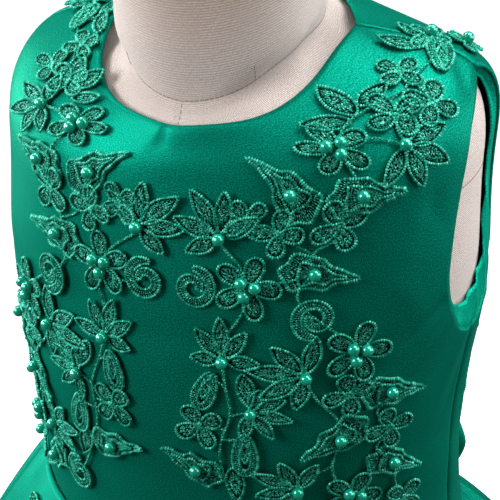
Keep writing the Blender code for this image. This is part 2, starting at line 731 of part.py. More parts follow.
def union_triangles(shapes):
    """Triangles of the flat area that the outlines cover together."""
    vertices, outlines = [], []
    for shape in shapes:
        if loop_area(shape, list(range(len(shape)))) < 0:
            shape = shape[::-1]
        outlines.append(list(range(len(vertices), len(vertices) + len(shape))))
        vertices += [Vector(p) for p in shape]
    result = geometry.delaunay_2d_cdt(vertices, [], outlines, 0, 1e-4, True)
    points = np.array([tuple(p) for p in result[0]])
    faces = np.array([face for face, origin in zip(result[2], result[5]) if origin])
    return points, faces


def without_short_edges(points, edges, shortest):
    """Draws points of the border that nearly meet into one, and drops what collapses."""
    group = np.arange(len(points))
    used = np.unique(edges)
    near = np.linalg.norm(points[used][:, None] - points[used][None], axis=2) < shortest
    for row, i in enumerate(used):
        for j in used[near[row]]:
            if group[j] > group[i]:
                group[group == group[j]] = group[i]
    edges = group[edges]
    edges = edges[edges[:, 0] != edges[:, 1]]
    undirected, count = np.unique(np.sort(edges, axis=1), axis=0, return_counts=True)
    used, edges = np.unique(undirected[count % 2 == 1], return_inverse=True)
    return points[used], edges.reshape(-1, 2)


def loops_of(edges):
    """Closed loops that directed edges form."""
    following = {}
    for a, b in edges:
        following.setdefault(int(a), []).append(int(b))
    loops = []
    while following:
        loop = [next(iter(following))]
        while True:
            nexts = following[loop[-1]]
            step = nexts.pop()
            if not nexts:
                del following[loop[-1]]
            if step == loop[0]:
                break
            loop.append(step)
        loops.append(loop)
    return loops


def loop_area(points, loop):
    x, y = points[loop].T
    return (x * np.roll(y, -1) - np.roll(x, -1) * y).sum() / 2


def plainer(points, loop, least):
    """Drops the points of a loop that take least from its shape, one after another."""
    loop = list(loop)
    while len(loop) > 3:
        around = points[loop]
        before = np.roll(around, 1, axis=0) - around
        after = np.roll(around, -1, axis=0) - around
        areas = np.abs(before[:, 0] * after[:, 1] - before[:, 1] * after[:, 0]) / 2
        smallest = int(np.argmin(areas))
        if areas[smallest] > least:
            break
        del loop[smallest]
    return loop


def lace_edges(points, faces):
    """Border edges of the lace, leaving out its smallest gaps and the points that add little."""
    edges = []
    for loop in loops_of(border_edges(faces)):
        area = loop_area(points, loop)
        if area < 0 and -area < SMALLEST_GAP:
            continue
        kept = plainer(points, loop, LEAST_CORNER)
        edges += list(zip(kept, kept[1:] + kept[:1]))
    return np.array(edges)


def inner_points(points, edges, spacing, margin):
    """A lattice of points inside the border, which lets the sheet follow the body between its edges."""
    low, high = points.min(axis=0), points.max(axis=0)
    rows = np.arange(low[1], high[1], spacing * 0.87)
    lattice = [(x + (k % 2) * spacing / 2, y) for k, y in enumerate(rows)
               for x in np.arange(low[0], high[0], spacing)]
    lattice = np.array(lattice)
    lattice = lattice[contains(lattice, points, edges)]
    start, end = points[edges[:, 0]], points[edges[:, 1]]
    along = end - start
    share = ((lattice[:, None] - start) * along).sum(axis=2) / (along ** 2).sum(axis=1)
    nearest = start + along * np.clip(share, 0, 1)[..., None]
    distance = np.linalg.norm(lattice[:, None] - nearest, axis=2).min(axis=1)
    return lattice[distance > margin]


def pinched(faces):
    """Points where the border crosses itself."""
    ends, count = np.unique(border_edges(faces), return_counts=True)
    return ends[count > 2]


def flat_triangles(points, edges, extra=(), lines=()):
    """Triangles inside the border, and for each of their points the given points that it came from."""
    vertices = [Vector(p) for p in points] + [Vector(p) for p in extra]
    constraints = [tuple(map(int, edge)) for edge in edges] + list(lines)
    result = geometry.delaunay_2d_cdt(vertices, constraints, [], 0, 1e-4, True)
    flat = np.array([tuple(p) for p in result[0]])
    faces = np.array(result[2])
    return flat, faces[contains(flat[faces].mean(axis=1), points, edges)], result[3]


def lace_border(shapes):
    """Border of the lace in the flat, with its small gaps closed and no place where it only touches itself."""
    shapes = list(shapes)
    for _ in range(LACE_TRIES):
        points, faces = union_triangles(shapes)
        edges = lace_edges(points, faces)
        points, edges = without_short_edges(points, edges, SHORTEST_EDGE)
        flat, faces, _ = flat_triangles(points, edges)
        crossed = pinched(faces)
        if len(crossed) == 0:
            break
        shapes += [disc(PINCH_RADIUS, flat[i]) for i in crossed]
    return flat, border_edges(faces)


def pearl_rings(pearls, first):
    """Points, lines and heights of the domes that stand for the pearls."""
    points, lines, heights = [], [], {}
    for pearl in pearls:
        for radius, height in PEARL_RINGS:
            start = first + len(points)
            ring = disc(radius, pearl)
            points += list(ring)
            lines += [(start + i, start + (i + 1) % len(ring)) for i in range(len(ring))]
            heights.update({start + i: height for i in range(len(ring))})
        heights[first + len(points)] = PEARL_HEIGHT
        points.append(pearl)
    return points, lines, heights


def lace_solid(name, outlines, pearls, finish, surface=body, lift=LACE_LIFT):
    """A lace piece: its plain underside follows the cloth, and its pearls stand up from its outer side."""
    metric = np.array([MM_PER_DEGREE, 1000.0])
    domes = [p * metric for p in pearls]
    seats = [disc(PEARL_SEAT, dome) for dome in domes]
    points, edges = lace_border([o * metric for o in outlines] + seats)
    fill = inner_points(points, edges, LATTICE, LATTICE_MARGIN)
    clear = [p for p in fill if all(np.hypot(*(p - dome)) > PEARL_SEAT for dome in domes)]
    rings, lines, heights = pearl_rings(domes, len(points) + len(clear))
    top, top_faces, origins = flat_triangles(points, edges, clear + rings, lines)
    raised = np.array([max((heights.get(i, 0.0) for i in origin), default=0.0) for origin in origins])
    rim = border_edges(top_faces)
    corners, rim_low = np.unique(rim, return_inverse=True)
    rim_low = rim_low.reshape(-1, 2)
    low, low_faces, low_origins = flat_triangles(top[corners], rim_low, fill)
    came_to = {origin: i for i, found in enumerate(low_origins) for origin in found}
    outer = surface(top[:, 0] / metric[0], top[:, 1] / metric[1], (lift + LACE_WALL + raised) / 1000)
    inner = surface(low[:, 0] / metric[0], low[:, 1] / metric[1], lift / 1000)
    walls = [(a, came_to[c] + len(top), came_to[d] + len(top), b) for (a, b), (c, d) in zip(rim, rim_low)]
    underside = [(c + len(top), b + len(top), a + len(top)) for a, b, c in low_faces]
    faces = [tuple(face) for face in top_faces] + underside + walls
    used = sorted({i for face in faces for i in face})
    place = {old: new for new, old in enumerate(used)}
    points = np.concatenate([outer, inner])[used]
    return add_object(name, points, [tuple(place[i] for i in face) for face in faces], finish)


def skirt_surface(degrees, up, out):
    """The skirt as the lace's ground: a height below the waist seam counts down from it."""
    angle, up, out = np.broadcast_arrays(np.radians(np.asarray(degrees, float)), up, out)
    return with_normal(lambda a, b: skirt_point(a, -b), angle, np.asarray(up, float), out)


def make_lace(finish):
    left = joined_lace(lay_lace(LACE, STEMS), lay_lace(YOKE_LEFT, YOKE_LEFT_STEMS))
    right = joined_lace(lay_lace(LACE, STEMS, -1, RIGHT_LEAN), lay_lace(YOKE_RIGHT, YOKE_RIGHT_STEMS))
    lace_solid("lace_left", *left, finish)
    lace_solid("lace_right", *right, finish)
    for side, name in ((1, "left"), (-1, "right")):
        lace_solid(f"lace_back_{name}", *lay_lace(BACK_LACE, BACK_STEMS, side), finish)
        lace_solid(f"lace_skirt_{name}", *lay_lace(SKIRT_LACE, SKIRT_STEMS, side), finish,
                   skirt_surface, SKIRT_LACE_LIFT)


# Bow

def bow_loop_point(share, across, side):
    """Point of a loop: share runs from the knot round the tip and back, across from its lower to upper edge."""
    root = KNOT_SIZE[0] / 2 + 2 * TOUCH_GAP
    reach = np.sin(math.pi * share) ** 0.85
    point = BOW_TIP * (1 - np.abs(across) ** 1.5) * reach ** 4
    out = root + (BOW_LENGTH - BOW_TIP - root) * reach + point
    swell = np.sin(math.pi * np.clip(reach * 0.86 + 0.07, 0, 1)) ** 0.7
    layer = np.clip((share - 0.5) * 8, -1, 1)
    depth = layer * (LOOP_MOUTH + (BOW_DEPTH / 2 - LOOP_MOUTH) * swell)
    pleat = LOOP_PLEAT * np.cos(3 * math.pi * across) * (1 - reach) * layer
    height = BOW_HEIGHT * (0.50 + 0.50 * np.sin(math.pi / 2 * reach))
    drop = (BOW_DROOP + side * BOW_SKEW) * reach ** 1.6
    forward = BOW_FORWARD * reach ** 2
    return np.stack([side * out, BOW_BACK + depth + pleat - forward,
                     WAIST_HEIGHT + BOW_UP + across * height / 2 - drop], axis=-1)


def tail_point(angle, drop):
    """Where a tail lies: on the crests of the skirt's folds."""
    return skirt_point(angle, drop, ripple=0.35, lift=TAIL_LIFT)


def make_bow(satin):
    shares = np.linspace(0, 1, 17)
    across = np.linspace(-1, 1, 5)
    share_grid, across_grid = np.meshgrid(shares, across)
    for side, name in ((1, "bow_loop_left"), (-1, "bow_loop_right")):
        points = bow_loop_point(share_grid, across_grid, side).reshape(-1, 3)
        faces = grid_faces(len(across), len(shares))
        if side > 0:
            faces = [face[::-1] for face in faces]
        solidify(add_object(name, points, faces, satin), CLOTH)
    bpy.ops.mesh.primitive_cube_add(size=1, location=(0, KNOT_BACK, WAIST_HEIGHT + BOW_UP))
    knot = bpy.context.object
    knot.name = "bow_knot"
    knot.scale = KNOT_SIZE
    bpy.ops.object.transform_apply(location=False, rotation=False, scale=True)
    rounding = knot.modifiers.new("rounding", "BEVEL")
    rounding.width = KNOT_ROUNDING
    rounding.segments = 2
    adopt(knot, satin)
    make_tails(satin)


def make_tails(satin):
    drops = np.linspace(TAIL_DROP, TAIL_DROP + TAIL_LENGTH, 9)
    share = (drops - drops[0]) / TAIL_LENGTH
    half = (TAIL_TOP_WIDTH + (TAIL_WIDTH - TAIL_TOP_WIDTH) * share ** 0.7) / 2
    middle = TAIL_START + TAIL_SPREAD * share
    columns = np.linspace(-1, 1, 5)
    radius = np.linalg.norm(body(180, 0)[:2]) + 0.80 * drops
    for side, name in ((-1, "bow_tail_left"), (1, "bow_tail_right")):
        angles = math.pi + side * (middle + half * columns[:, None]).T / radius[:, None]
        cut = drops[:, None] + share[:, None] * TAIL_SLANT * columns
        grid = tail_point(angles, cut)[::-1]
        if side < 0:
            grid = grid[:, ::-1]
        points = grid.reshape(-1, 3)
        solidify(add_object(name, points, grid_faces(len(drops), len(columns)), satin), CLOTH)


# Form and stand

def adopt(obj, finish, smooth=True):
    """Moves a primitive into the dress collection and gives it its finish."""
    for collection in list(obj.users_collection):
        collection.objects.unlink(obj)
    dress.objects.link(obj)
    obj.data.materials.clear()
    obj.data.materials.append(finish)
    if smooth:
        obj.data.shade_smooth()
        obj.data.set_sharp_from_angle(angle=math.radians(40))


def form_clearance(degrees, up):
    """How far the form lies inside the cloth: close under the bodice, deeper round the armholes."""
    away = np.hypot((np.abs(degrees) - HOLLOW_MIDDLE[0]) / HOLLOW_REACH[0],
                    (up - HOLLOW_MIDDLE[1]) / HOLLOW_REACH[1])
    near = np.clip((HOLLOW_EDGE - away) / HOLLOW_BLEND, 0, 1)
    near = near * near * (3 - 2 * near)
    shoulder = shoulder_share(up)
    deep = ARMHOLE_CLEARANCE + (SHOULDER_CLEARANCE - ARMHOLE_CLEARANCE) * shoulder
    close = FORM_CLEARANCE + FORM_SLACK * shoulder
    return close + (deep - close) * near


def neck_ring(share, degrees):
    """Ring of the neck stub, from its seam at the shoulders up to its cut top."""
    y, z, wide, deep, tilt = NECK_FOOT + (NECK_TOP - NECK_FOOT) * np.array([share, share, share ** 0.6, share, share])
    angle = np.radians(degrees)
    forward = -np.cos(angle) * deep
    tilt = math.radians(tilt)
    return np.stack([np.sin(angle) * wide, y + forward * math.cos(tilt),
                     z + forward * math.sin(tilt) + WAIST_HEIGHT], axis=-1)


def lathe_faces(rows, columns):
    """Faces of stacked rings with both ends closed."""
    ends = [tuple(range(columns))[::-1], tuple((rows - 1) * columns + c for c in range(columns))]
    return grid_faces(rows, columns, around=True) + ends


def make_form(jersey, wood):
    degrees = np.arange(FORM_COLUMNS) * 360 / FORM_COLUMNS
    signed = (degrees + 180) % 360 - 180
    rings = [body(signed, up, -form_clearance(signed, up)) for up in FORM_ROWS]
    rings += [neck_ring(share, signed) for share in NECK_SHARES]
    add_object("form_torso", np.concatenate(rings), lathe_faces(len(rings), FORM_COLUMNS), jersey)
    y, z, wide, deep, tilt = NECK_TOP
    bpy.ops.mesh.primitive_cylinder_add(vertices=FORM_COLUMNS, radius=1, depth=1, location=(0, 0, 0))
    cap = bpy.context.object
    cap.name = "form_neck_cap"
    cap.scale = (wide - NECK_CAP_INSET, deep - NECK_CAP_INSET, NECK_CAP)
    bpy.ops.object.transform_apply(location=False, rotation=False, scale=True)
    cap.rotation_euler = (math.radians(tilt), 0, 0)
    lean = math.radians(tilt)
    rise = NECK_CAP / 2 + TOUCH_GAP
    cap.location = (0, y - rise * math.sin(lean), WAIST_HEIGHT + z + rise * math.cos(lean))
    rounding = cap.modifiers.new("rounding", "BEVEL")
    rounding.width = NECK_CAP_ROUNDING
    rounding.segments = 1
    rounding.limit_method = "ANGLE"
    adopt(cap, wood)


def make_stand(metal):
    top = WAIST_HEIGHT + FORM_BOTTOM - TOUCH_GAP
    foot = BASE_THICKNESS + TOUCH_GAP
    bpy.ops.mesh.primitive_cylinder_add(vertices=24, radius=POLE_RADIUS, depth=top - foot,
                                        location=(0, 0, (top + foot) / 2))
    pole = bpy.context.object
    pole.name = "form_pole"
    adopt(pole, metal)
    bpy.ops.mesh.primitive_cylinder_add(vertices=36, radius=BASE_RADIUS, depth=BASE_THICKNESS,
                                        location=(0, 0, BASE_THICKNESS / 2))
    base = bpy.context.object
    base.name = "form_base"
    rounding = base.modifiers.new("rounding", "BEVEL")
    rounding.width = BASE_ROUNDING
    rounding.segments = 1
    rounding.limit_method = "ANGLE"
    adopt(base, metal)


clear_scene()
dress = bpy.data.collections.new("junior bridesmaid dress")
bpy.context.scene.collection.children.link(dress)
satin_finish = material("satin", SATIN, 0.34, sheen=0.2)
lace_finish = material("corded lace", LACE_GREEN, 0.55)
jersey_finish = material("knit jersey", JERSEY, 0.9, sheen=0.3)
wood_finish = material("pale wood", WOOD, 0.5)
metal_finish = material("painted steel", STEEL, 0.4, metallic=0.6)
make_bodice(satin_finish)
make_facings(satin_finish)
make_skirt(satin_finish)
make_lace(lace_finish)
make_bow(satin_finish)
make_form(jersey_finish, wood_finish)
make_stand(metal_finish)
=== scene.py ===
# %% [markdown]
# # A junior bridesmaid dress on its dress form
# A fixed frame holds the sizes of the dress: cut panels, lace, bow, form and stand. This lesson dresses
# that frame. Satin becomes thin shells with creases placed one by one, lace becomes corded thread work laid
# on the satin, and the form gets its knit cover. Everything is worked out in metres, in the frame's place.
# %% Load the frame
import math

import bpy
import numpy as np
from mathutils import Matrix, Vector


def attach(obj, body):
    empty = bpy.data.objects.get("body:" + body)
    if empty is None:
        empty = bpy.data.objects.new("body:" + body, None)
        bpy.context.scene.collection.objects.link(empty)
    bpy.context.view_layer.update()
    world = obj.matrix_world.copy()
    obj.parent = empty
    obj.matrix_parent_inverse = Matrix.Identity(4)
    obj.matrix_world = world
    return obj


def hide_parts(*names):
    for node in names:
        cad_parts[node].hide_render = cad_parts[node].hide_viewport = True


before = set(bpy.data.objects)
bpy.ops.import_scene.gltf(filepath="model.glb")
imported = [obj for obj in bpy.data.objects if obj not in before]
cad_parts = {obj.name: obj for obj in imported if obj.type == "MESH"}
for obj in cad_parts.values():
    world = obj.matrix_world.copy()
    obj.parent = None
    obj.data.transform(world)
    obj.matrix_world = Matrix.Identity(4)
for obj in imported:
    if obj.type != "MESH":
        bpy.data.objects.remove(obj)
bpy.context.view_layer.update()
print("nodes:", len(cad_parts))

# %% [markdown]
# ## The body under the cloth
# A dress is fitted to a body, so one smooth surface carries every panel. A table of rings gives the body's
# front, side and back at each height, and splines join the rows. A place on it is an angle round the body
# (0 front, 90 left side, 180 back) and a height up from the waist, which is how a maker measures too.
# %% Body surface
WAIST_HEIGHT = 0.800
# Columns: up, front y, front z, side x, side y, side z, back y, back z, fullness
RINGS = (
    (-0.220, -0.1120, -0.2200, 0.1420, 0.0060, -0.2200, 0.1180, -0.2200, 2.15),
    (-0.120, -0.1080, -0.1200, 0.1370, 0.0060, -0.1200, 0.1130, -0.1200, 2.15),
    (-0.045, -0.0920, -0.0450, 0.1240, 0.0030, -0.0450, 0.0960, -0.0450, 2.12),
    (0.000, -0.0845, 0.0000, 0.1185, 0.0020, 0.0000, 0.0880, 0.0000, 2.10),
    (0.070, -0.0885, 0.0700, 0.1205, 0.0010, 0.0700, 0.0890, 0.0700, 2.10),
    (0.140, -0.0865, 0.1400, 0.1285, 0.0060, 0.1400, 0.0945, 0.1400, 2.10),
    (0.185, -0.0830, 0.1800, 0.1275, 0.0120, 0.1920, 0.0920, 0.1900, 2.15),
    (0.212, -0.0790, 0.2040, 0.1175, 0.0190, 0.2355, 0.0790, 0.2280, 2.15),
    (0.228, -0.0765, 0.2145, 0.0890, 0.0115, 0.2490, 0.0620, 0.2520, 1.90),
    (0.243, -0.0735, 0.2240, 0.0620, 0.0030, 0.2550, 0.0440, 0.2700, 1.75),
    (0.262, -0.0620, 0.2350, 0.0525, -0.0170, 0.2600, 0.0280, 0.2840, 1.95),
)
NORMAL_STEP = 1e-4


def spline_through(rows):
    """Natural cubic spline of a table's other columns against its first one."""
    table = np.array(rows, float)
    xs, ys = table[:, 0], table[:, 1:]
    count, step = len(xs), np.diff(xs)
    matrix, right = np.eye(count), np.zeros_like(ys)
    for i in range(1, count - 1):
        matrix[i, i - 1:i + 2] = step[i - 1], 2 * (step[i - 1] + step[i]), step[i]
        right[i] = 3 * ((ys[i + 1] - ys[i]) / step[i] - (ys[i] - ys[i - 1]) / step[i - 1])
    second = np.linalg.solve(matrix, right)
    first = (ys[1:] - ys[:-1]) / step[:, None] - step[:, None] * (2 * second[:-1] + second[1:]) / 3
    third = (second[1:] - second[:-1]) / (3 * step[:, None])

    def at(x):
        x = np.asarray(x, float)
        i = np.clip(np.searchsorted(xs, x) - 1, 0, count - 2)
        t = (x - xs[i])[..., None]
        return ys[i] + first[i] * t + second[i] * t ** 2 + third[i] * t ** 3

    return at


ring_at = spline_through(RINGS)


def body_point(angle, up):
    """Point of the body: angle in radians round it, up in metres."""
    front_y, front_z, side_x, side_y, side_z, back_y, back_z, full = np.moveaxis(ring_at(up), -1, 0)
    cosine, sine = np.cos(angle), np.sin(angle)
    along = np.abs(cosine) ** (2 / full)
    across = np.sign(sine) * np.abs(sine) ** (2 / full)
    end_y = np.where(cosine > 0, front_y, back_y)
    end_z = np.where(cosine > 0, front_z, back_z)
    return np.stack([side_x * across, side_y + (end_y - side_y) * along,
                     side_z + (end_z - side_z) * along ** 1.5 + WAIST_HEIGHT], axis=-1)


def unit(vectors):
    return vectors / np.linalg.norm(vectors, axis=-1, keepdims=True)


def laid_on(surface, degrees, up, out):
    """Points of a surface, moved out along its normal, which small steps measure."""
    a, b, out = np.broadcast_arrays(np.radians(np.asarray(degrees, float)), np.asarray(up, float), out)
    along_a = surface(a + NORMAL_STEP, b) - surface(a - NORMAL_STEP, b)
    along_b = surface(a, b + NORMAL_STEP) - surface(a, b - NORMAL_STEP)
    return surface(a, b) + unit(np.cross(along_a, along_b)) * np.asarray(out)[..., None]


def body(degrees, up, out=0.0):
    return laid_on(body_point, degrees, up, out)


def travelled(points):
    """Distance along a line of points, from 0 at the first one."""
    return np.concatenate([[0], np.cumsum(np.linalg.norm(np.diff(points, axis=0), axis=1))])


print("waist girth:", travelled(body(np.linspace(-180, 180, 361), 0.0))[-1].round(3), "m")

# %% [markdown]
# ## Cut lines
# These are the pattern's edges: neckline, armholes, side seams and a waist seam that dips at the front and
# back and sits a little lower on the left. Four edges bound each panel, and a Coons patch fills a smooth
# grid between them, so that rows and columns follow the edges as the threads of a cut panel would.
# %% Edges of the panels
SIDE_SEAM = 85.0
SHOULDER_SEAM = 88.0
WAIST_SIDES, WAIST_POINT, WAIST_BACK, WAIST_SKEW = -0.013, -0.010, -0.015, 0.009
UNDERARM = 0.1100
SHOULDER_TIP = 0.2125
NECK_POINT = 0.2440
SEAM_GAP, SEAM_TURN = 0.0002, 0.02
SHOULDER_START, SHOULDER_RISE, SHOULDER_TURN = 0.185, 0.022, 1.3
MM_PER_DEGREE = 2.1
METRIC = np.array([MM_PER_DEGREE / 1000, 1.0])  # turns (degrees, metres) into metres of cloth
SIDES = ((1, "left"), (-1, "right"))
NECKLINE = (
    (0, 0.2430), (15, 0.2415), (30, 0.2370), (42, 0.2365), (56, 0.2390), (71, 0.2425), (88, NECK_POINT),
    (105, 0.2450), (130, 0.2440), (155, 0.2425), (180, 0.2420),
)
ARMHOLE_FRONT = (
    (SHOULDER_SEAM, SHOULDER_TIP), (81, 0.2070), (74.5, 0.1980), (72, 0.1850), (70, 0.1650), (68.5, 0.1470),
    (69.5, 0.1350), (73, 0.1225), (78.5, 0.1130), (SIDE_SEAM, UNDERARM),
)
ARMHOLE_BACK = (
    (SHOULDER_SEAM, SHOULDER_TIP), (97, 0.2080), (104, 0.1980), (107, 0.1850), (108, 0.1650), (106, 0.1460),
    (101, 0.1260), (94, 0.1140), (SIDE_SEAM, UNDERARM),
)


def waist_line(degrees):
    angle = np.radians(degrees)
    front = np.clip(np.cos(angle), 0, 1) ** 3
    back = np.clip(-np.cos(angle), 0, 1) ** 2
    return WAIST_SIDES + WAIST_POINT * front + WAIST_BACK * back - WAIST_SKEW * np.sin(angle)


def curve_through(points, count):
    """Even steps along a smooth curve through given points."""
    points = np.array(points, float)
    way = travelled(points * METRIC)
    return spline_through(np.column_stack([way, points]))(np.linspace(0, way[-1], count))


def coons(bottom, top, left, right):
    """Grid filled between four edges: rows run up, columns run left to right."""
    u = np.linspace(0, 1, len(bottom))[None, :, None]
    v = np.linspace(0, 1, len(left))[:, None, None]
    corners = ((1 - u) * (1 - v) * bottom[0] + u * (1 - v) * bottom[-1]
               + (1 - u) * v * top[0] + u * v * top[-1])
    return (1 - v) * bottom[None] + v * top[None] + (1 - u) * left[:, None] + u * right[:, None] - corners


def outer_edge(armhole, side, fineness):
    """Side seam from the waist to the underarm, then the armhole up to the shoulder tip."""
    foot = (SIDE_SEAM, float(waist_line(side * SIDE_SEAM)) + SEAM_GAP)
    seam = np.linspace(foot, (SIDE_SEAM, UNDERARM), 5 * fineness + 1)
    return np.concatenate([seam[:-1], curve_through(armhole[::-1], 10 * fineness + 1)])


def half_panel(side, fineness, back=False):
    """Half the front, or one back panel, as a grid of (angle, up) on the left side of the body."""
    edge = outer_edge(ARMHOLE_BACK if back else ARMHOLE_FRONT, side, fineness)
    neck = spline_through(NECKLINE)
    seam_tip = np.linspace(NECK_POINT, SHOULDER_TIP, 3 * fineness + 1)
    shoulder = np.column_stack([np.full(len(seam_tip), SHOULDER_SEAM), seam_tip])
    if back:
        neck_angles = np.linspace(SHOULDER_SEAM, 180, 6 * fineness + 1)
        top = np.concatenate([shoulder[::-1][:-1], np.column_stack([neck_angles, neck(neck_angles)])])
        angles = np.linspace(SIDE_SEAM, 180, len(top))
    else:
        neck_angles = np.linspace(0, SHOULDER_SEAM, 7 * fineness + 1)
        top = np.concatenate([np.column_stack([neck_angles, neck(neck_angles)])[:-1], shoulder])
        angles = np.linspace(0, SIDE_SEAM, len(top))
    bottom = np.column_stack([angles, waist_line(side * angles) + SEAM_GAP])
    middle, end = (180.0, -1) if back else (0.0, 0)
    centre_ups = np.linspace(bottom[end, 1], top[end, 1], len(edge))
    centre = np.column_stack([np.full(len(edge), middle), centre_ups])
    return coons(bottom, top, edge, centre) if back else coons(bottom, top, centre, edge)


def smooth_share(value):
    """A value kept within 0 and 1 and eased at both ends."""
    share = np.clip(value, 0, 1)
    return share * share * (3 - 2 * share)


def shoulder_share(up):
    """0 below the shoulders and 1 on them, where the cloth bends most."""
    return smooth_share((up - SHOULDER_START) / SHOULDER_RISE)


def drawn_in(grid):
    """A panel grid drawn in by half a seam gap at its sides."""
    moved = grid.copy()
    middle = (grid[:, :1, 0] + grid[:, -1:, 0]) / 2
    share = (grid[..., 0] - middle) / np.maximum(np.abs(grid[:, -1:, 0] - middle), 1.0)
    share[grid[..., 0] < 1.0] = 0.0
    moved[..., 0] -= share * SEAM_TURN * (1 + SHOULDER_TURN * shoulder_share(grid[..., 1]))
    return moved


def mirrored(grid):
    return np.stack([-grid[:, ::-1, 0], grid[:, ::-1, 1]], axis=-1)


print("half a front panel:", half_panel(1, 6).shape)

# %% [markdown]
# ## Finishes
# A satin is smooth but not a mirror: its floating threads spread a lamp into one broad soft patch of the
# cloth's own colour. So the shader is partly metallic, which tints the gloss green, with a middle roughness,
# and a fine grain in colour and bump keeps it from looking like plastic. Patterns on cloth read a UV map in
# metres that follows the panel, so that the grain bends with it.
# %% Material helpers
CLOTH_UV, FILL = "cloth", "fill"


def node_adder(tree):
    """A function that adds a node to a tree, links some of its inputs and sets others."""
    def add(kind, links=None, values=None, **settings):
        node = tree.nodes.new(kind)
        for key, value in settings.items():
            setattr(node, key, value)
        for socket, value in (values or {}).items():
            node.inputs[socket].default_value = value
        for socket, source in (links or {}).items():
            tree.links.new(source, node.inputs[socket])
        return node

    return add


def start_material(name, colour, roughness, metallic=0.0, **sockets):
    """New material, with a function that adds nodes to it and one that joins them to its shader."""
    made = bpy.data.materials.new(name)
    made.use_nodes = True
    made.diffuse_color = (*colour, 1)
    shader = made.node_tree.nodes["Principled BSDF"]
    values = {"Base Color": (*colour, 1), "Roughness": roughness, "Metallic": metallic, **sockets}
    for socket, value in values.items():
        shader.inputs[socket].default_value = value

    def join(source, socket):
        made.node_tree.links.new(source, shader.inputs[socket])

    return made, node_adder(made.node_tree), join


def worked(add, operation, *inputs):
    """Output of a maths node; each input is a number or another node's output."""
    numbers = {i: given for i, given in enumerate(inputs) if isinstance(given, float)}
    linked = {i: given for i, given in enumerate(inputs) if i not in numbers}
    return add("ShaderNodeMath", linked, numbers, operation=operation).outputs[0]


# %% Patterns
def own_place(add):
    return add("ShaderNodeTexCoord").outputs["Object"]


def cloth_place(add, scale=(1.0, 1.0, 1.0)):
    """Cloth coordinates in metres, scaled by three numbers."""
    start = add("ShaderNodeUVMap", uv_map=CLOTH_UV).outputs["UV"]
    return add("ShaderNodeMapping", {"Vector": start}, {"Scale": scale}).outputs["Vector"]


def noise(add, vector, scale, detail=2.0, roughness=0.5):
    return add("ShaderNodeTexNoise", {"Vector": vector},
               {"Scale": scale, "Detail": detail, "Roughness": roughness}).outputs["Fac"]


def bands(add, vector, direction, scale, distortion, detail=1.0, detail_scale=2.0):
    """Soft parallel bands, wavy by the distortion."""
    values = {"Scale": scale, "Distortion": distortion, "Detail": detail, "Detail Scale": detail_scale}
    return add("ShaderNodeTexWave", {"Vector": vector}, values, bands_direction=direction).outputs["Fac"]


def ramp(add, source, *stops):
    """Colour ramp; each stop is its place and its colour, or its place and a grey."""
    node = add("ShaderNodeValToRGB", {"Fac": source})
    while len(node.color_ramp.elements) < len(stops):
        node.color_ramp.elements.new(0.5)
    for element, (place, colour) in zip(node.color_ramp.elements, stops):
        element.position = place
        element.color = (*(colour if isinstance(colour, tuple) else (colour,) * 3), 1)
    return node.outputs["Color"]


def bump(add, height, distance, strength):
    values = {"Distance": distance, "Strength": strength}
    return add("ShaderNodeBump", {"Height": height}, values).outputs["Normal"]


# %% Satin
SATIN = (0.0008, 0.185, 0.122)
SATIN_DEEP = (0.0002, 0.085, 0.056)
SATIN_PALE = (0.0050, 0.360, 0.250)
FACING_PAINTED_LIGHT = 1.9  # how much lighter the facing's satin is made: painted light, brighter than the lamps leave it in the armhole


def make_satin(name, light=1.0):
    made, add, join = start_material(
        name, SATIN, 0.42, metallic=0.60,
        **{"Specular IOR Level": 0.04, "Specular Tint": (0.05, 0.95, 0.66, 1), "Sheen Weight": 0.10,
           "Sheen Roughness": 0.45, "Sheen Tint": (0.0, 0.75, 0.52, 1)})
    grain = noise(add, cloth_place(add, (1.0, 1.25, 1.0)), 1500.0, 2.0, 0.75)
    slub = noise(add, cloth_place(add, (0.16, 1.0, 1.0)), 1300.0)
    deep, middle, pale = (tuple(light * part for part in tone) for tone in (SATIN_DEEP, SATIN, SATIN_PALE))
    join(ramp(add, grain, (0.35, deep), (0.50, middle), (0.65, pale)), "Base Color")
    join(ramp(add, noise(add, cloth_place(add), 16.0), (0.35, 0.40), (0.7, 0.48)), "Roughness")
    join(bump(add, worked(add, "ADD", grain, slub), 0.00018, 0.6), "Normal")
    return made


satin = make_satin("duchess satin")
# A lightened copy of the satin for the armhole facings: painted light, not a different cloth.
lightened_facing_satin = make_satin("duchess satin on the bias", FACING_PAINTED_LIGHT)
print("finish:", satin.name)

# %% Thread, net, pearl
THREAD_DARK = (0.000, 0.022, 0.014)
THREAD = (0.010, 0.360, 0.242)
THREAD_LIGHT = (0.190, 0.920, 0.690)
NET_DARK = (0.000, 0.014, 0.009)
NET_MIDDLE = (0.002, 0.140, 0.090)


def make_thread():
    """Wrapped rayon cord. The mesh keeps the tone of each wrap, as the value called thread: a random tone,
    darker in each groove as painted shade.
    """
    made, add, join = start_material(
        "corded thread", THREAD, 0.38, metallic=0.20,
        **{"Specular IOR Level": 0.38, "Specular Tint": (0.22, 1.0, 0.72, 1), "Sheen Weight": 0.15,
           "Sheen Tint": (0.05, 0.90, 0.60, 1)})
    tone = add("ShaderNodeAttribute", attribute_name="thread").outputs["Fac"]
    join(ramp(add, tone, (0.0, THREAD_DARK), (0.42, THREAD), (1.0, THREAD_LIGHT)), "Base Color")
    join(bump(add, noise(add, own_place(add), 3600.0, 1.0), 0.00012, 0.6), "Normal")
    return made


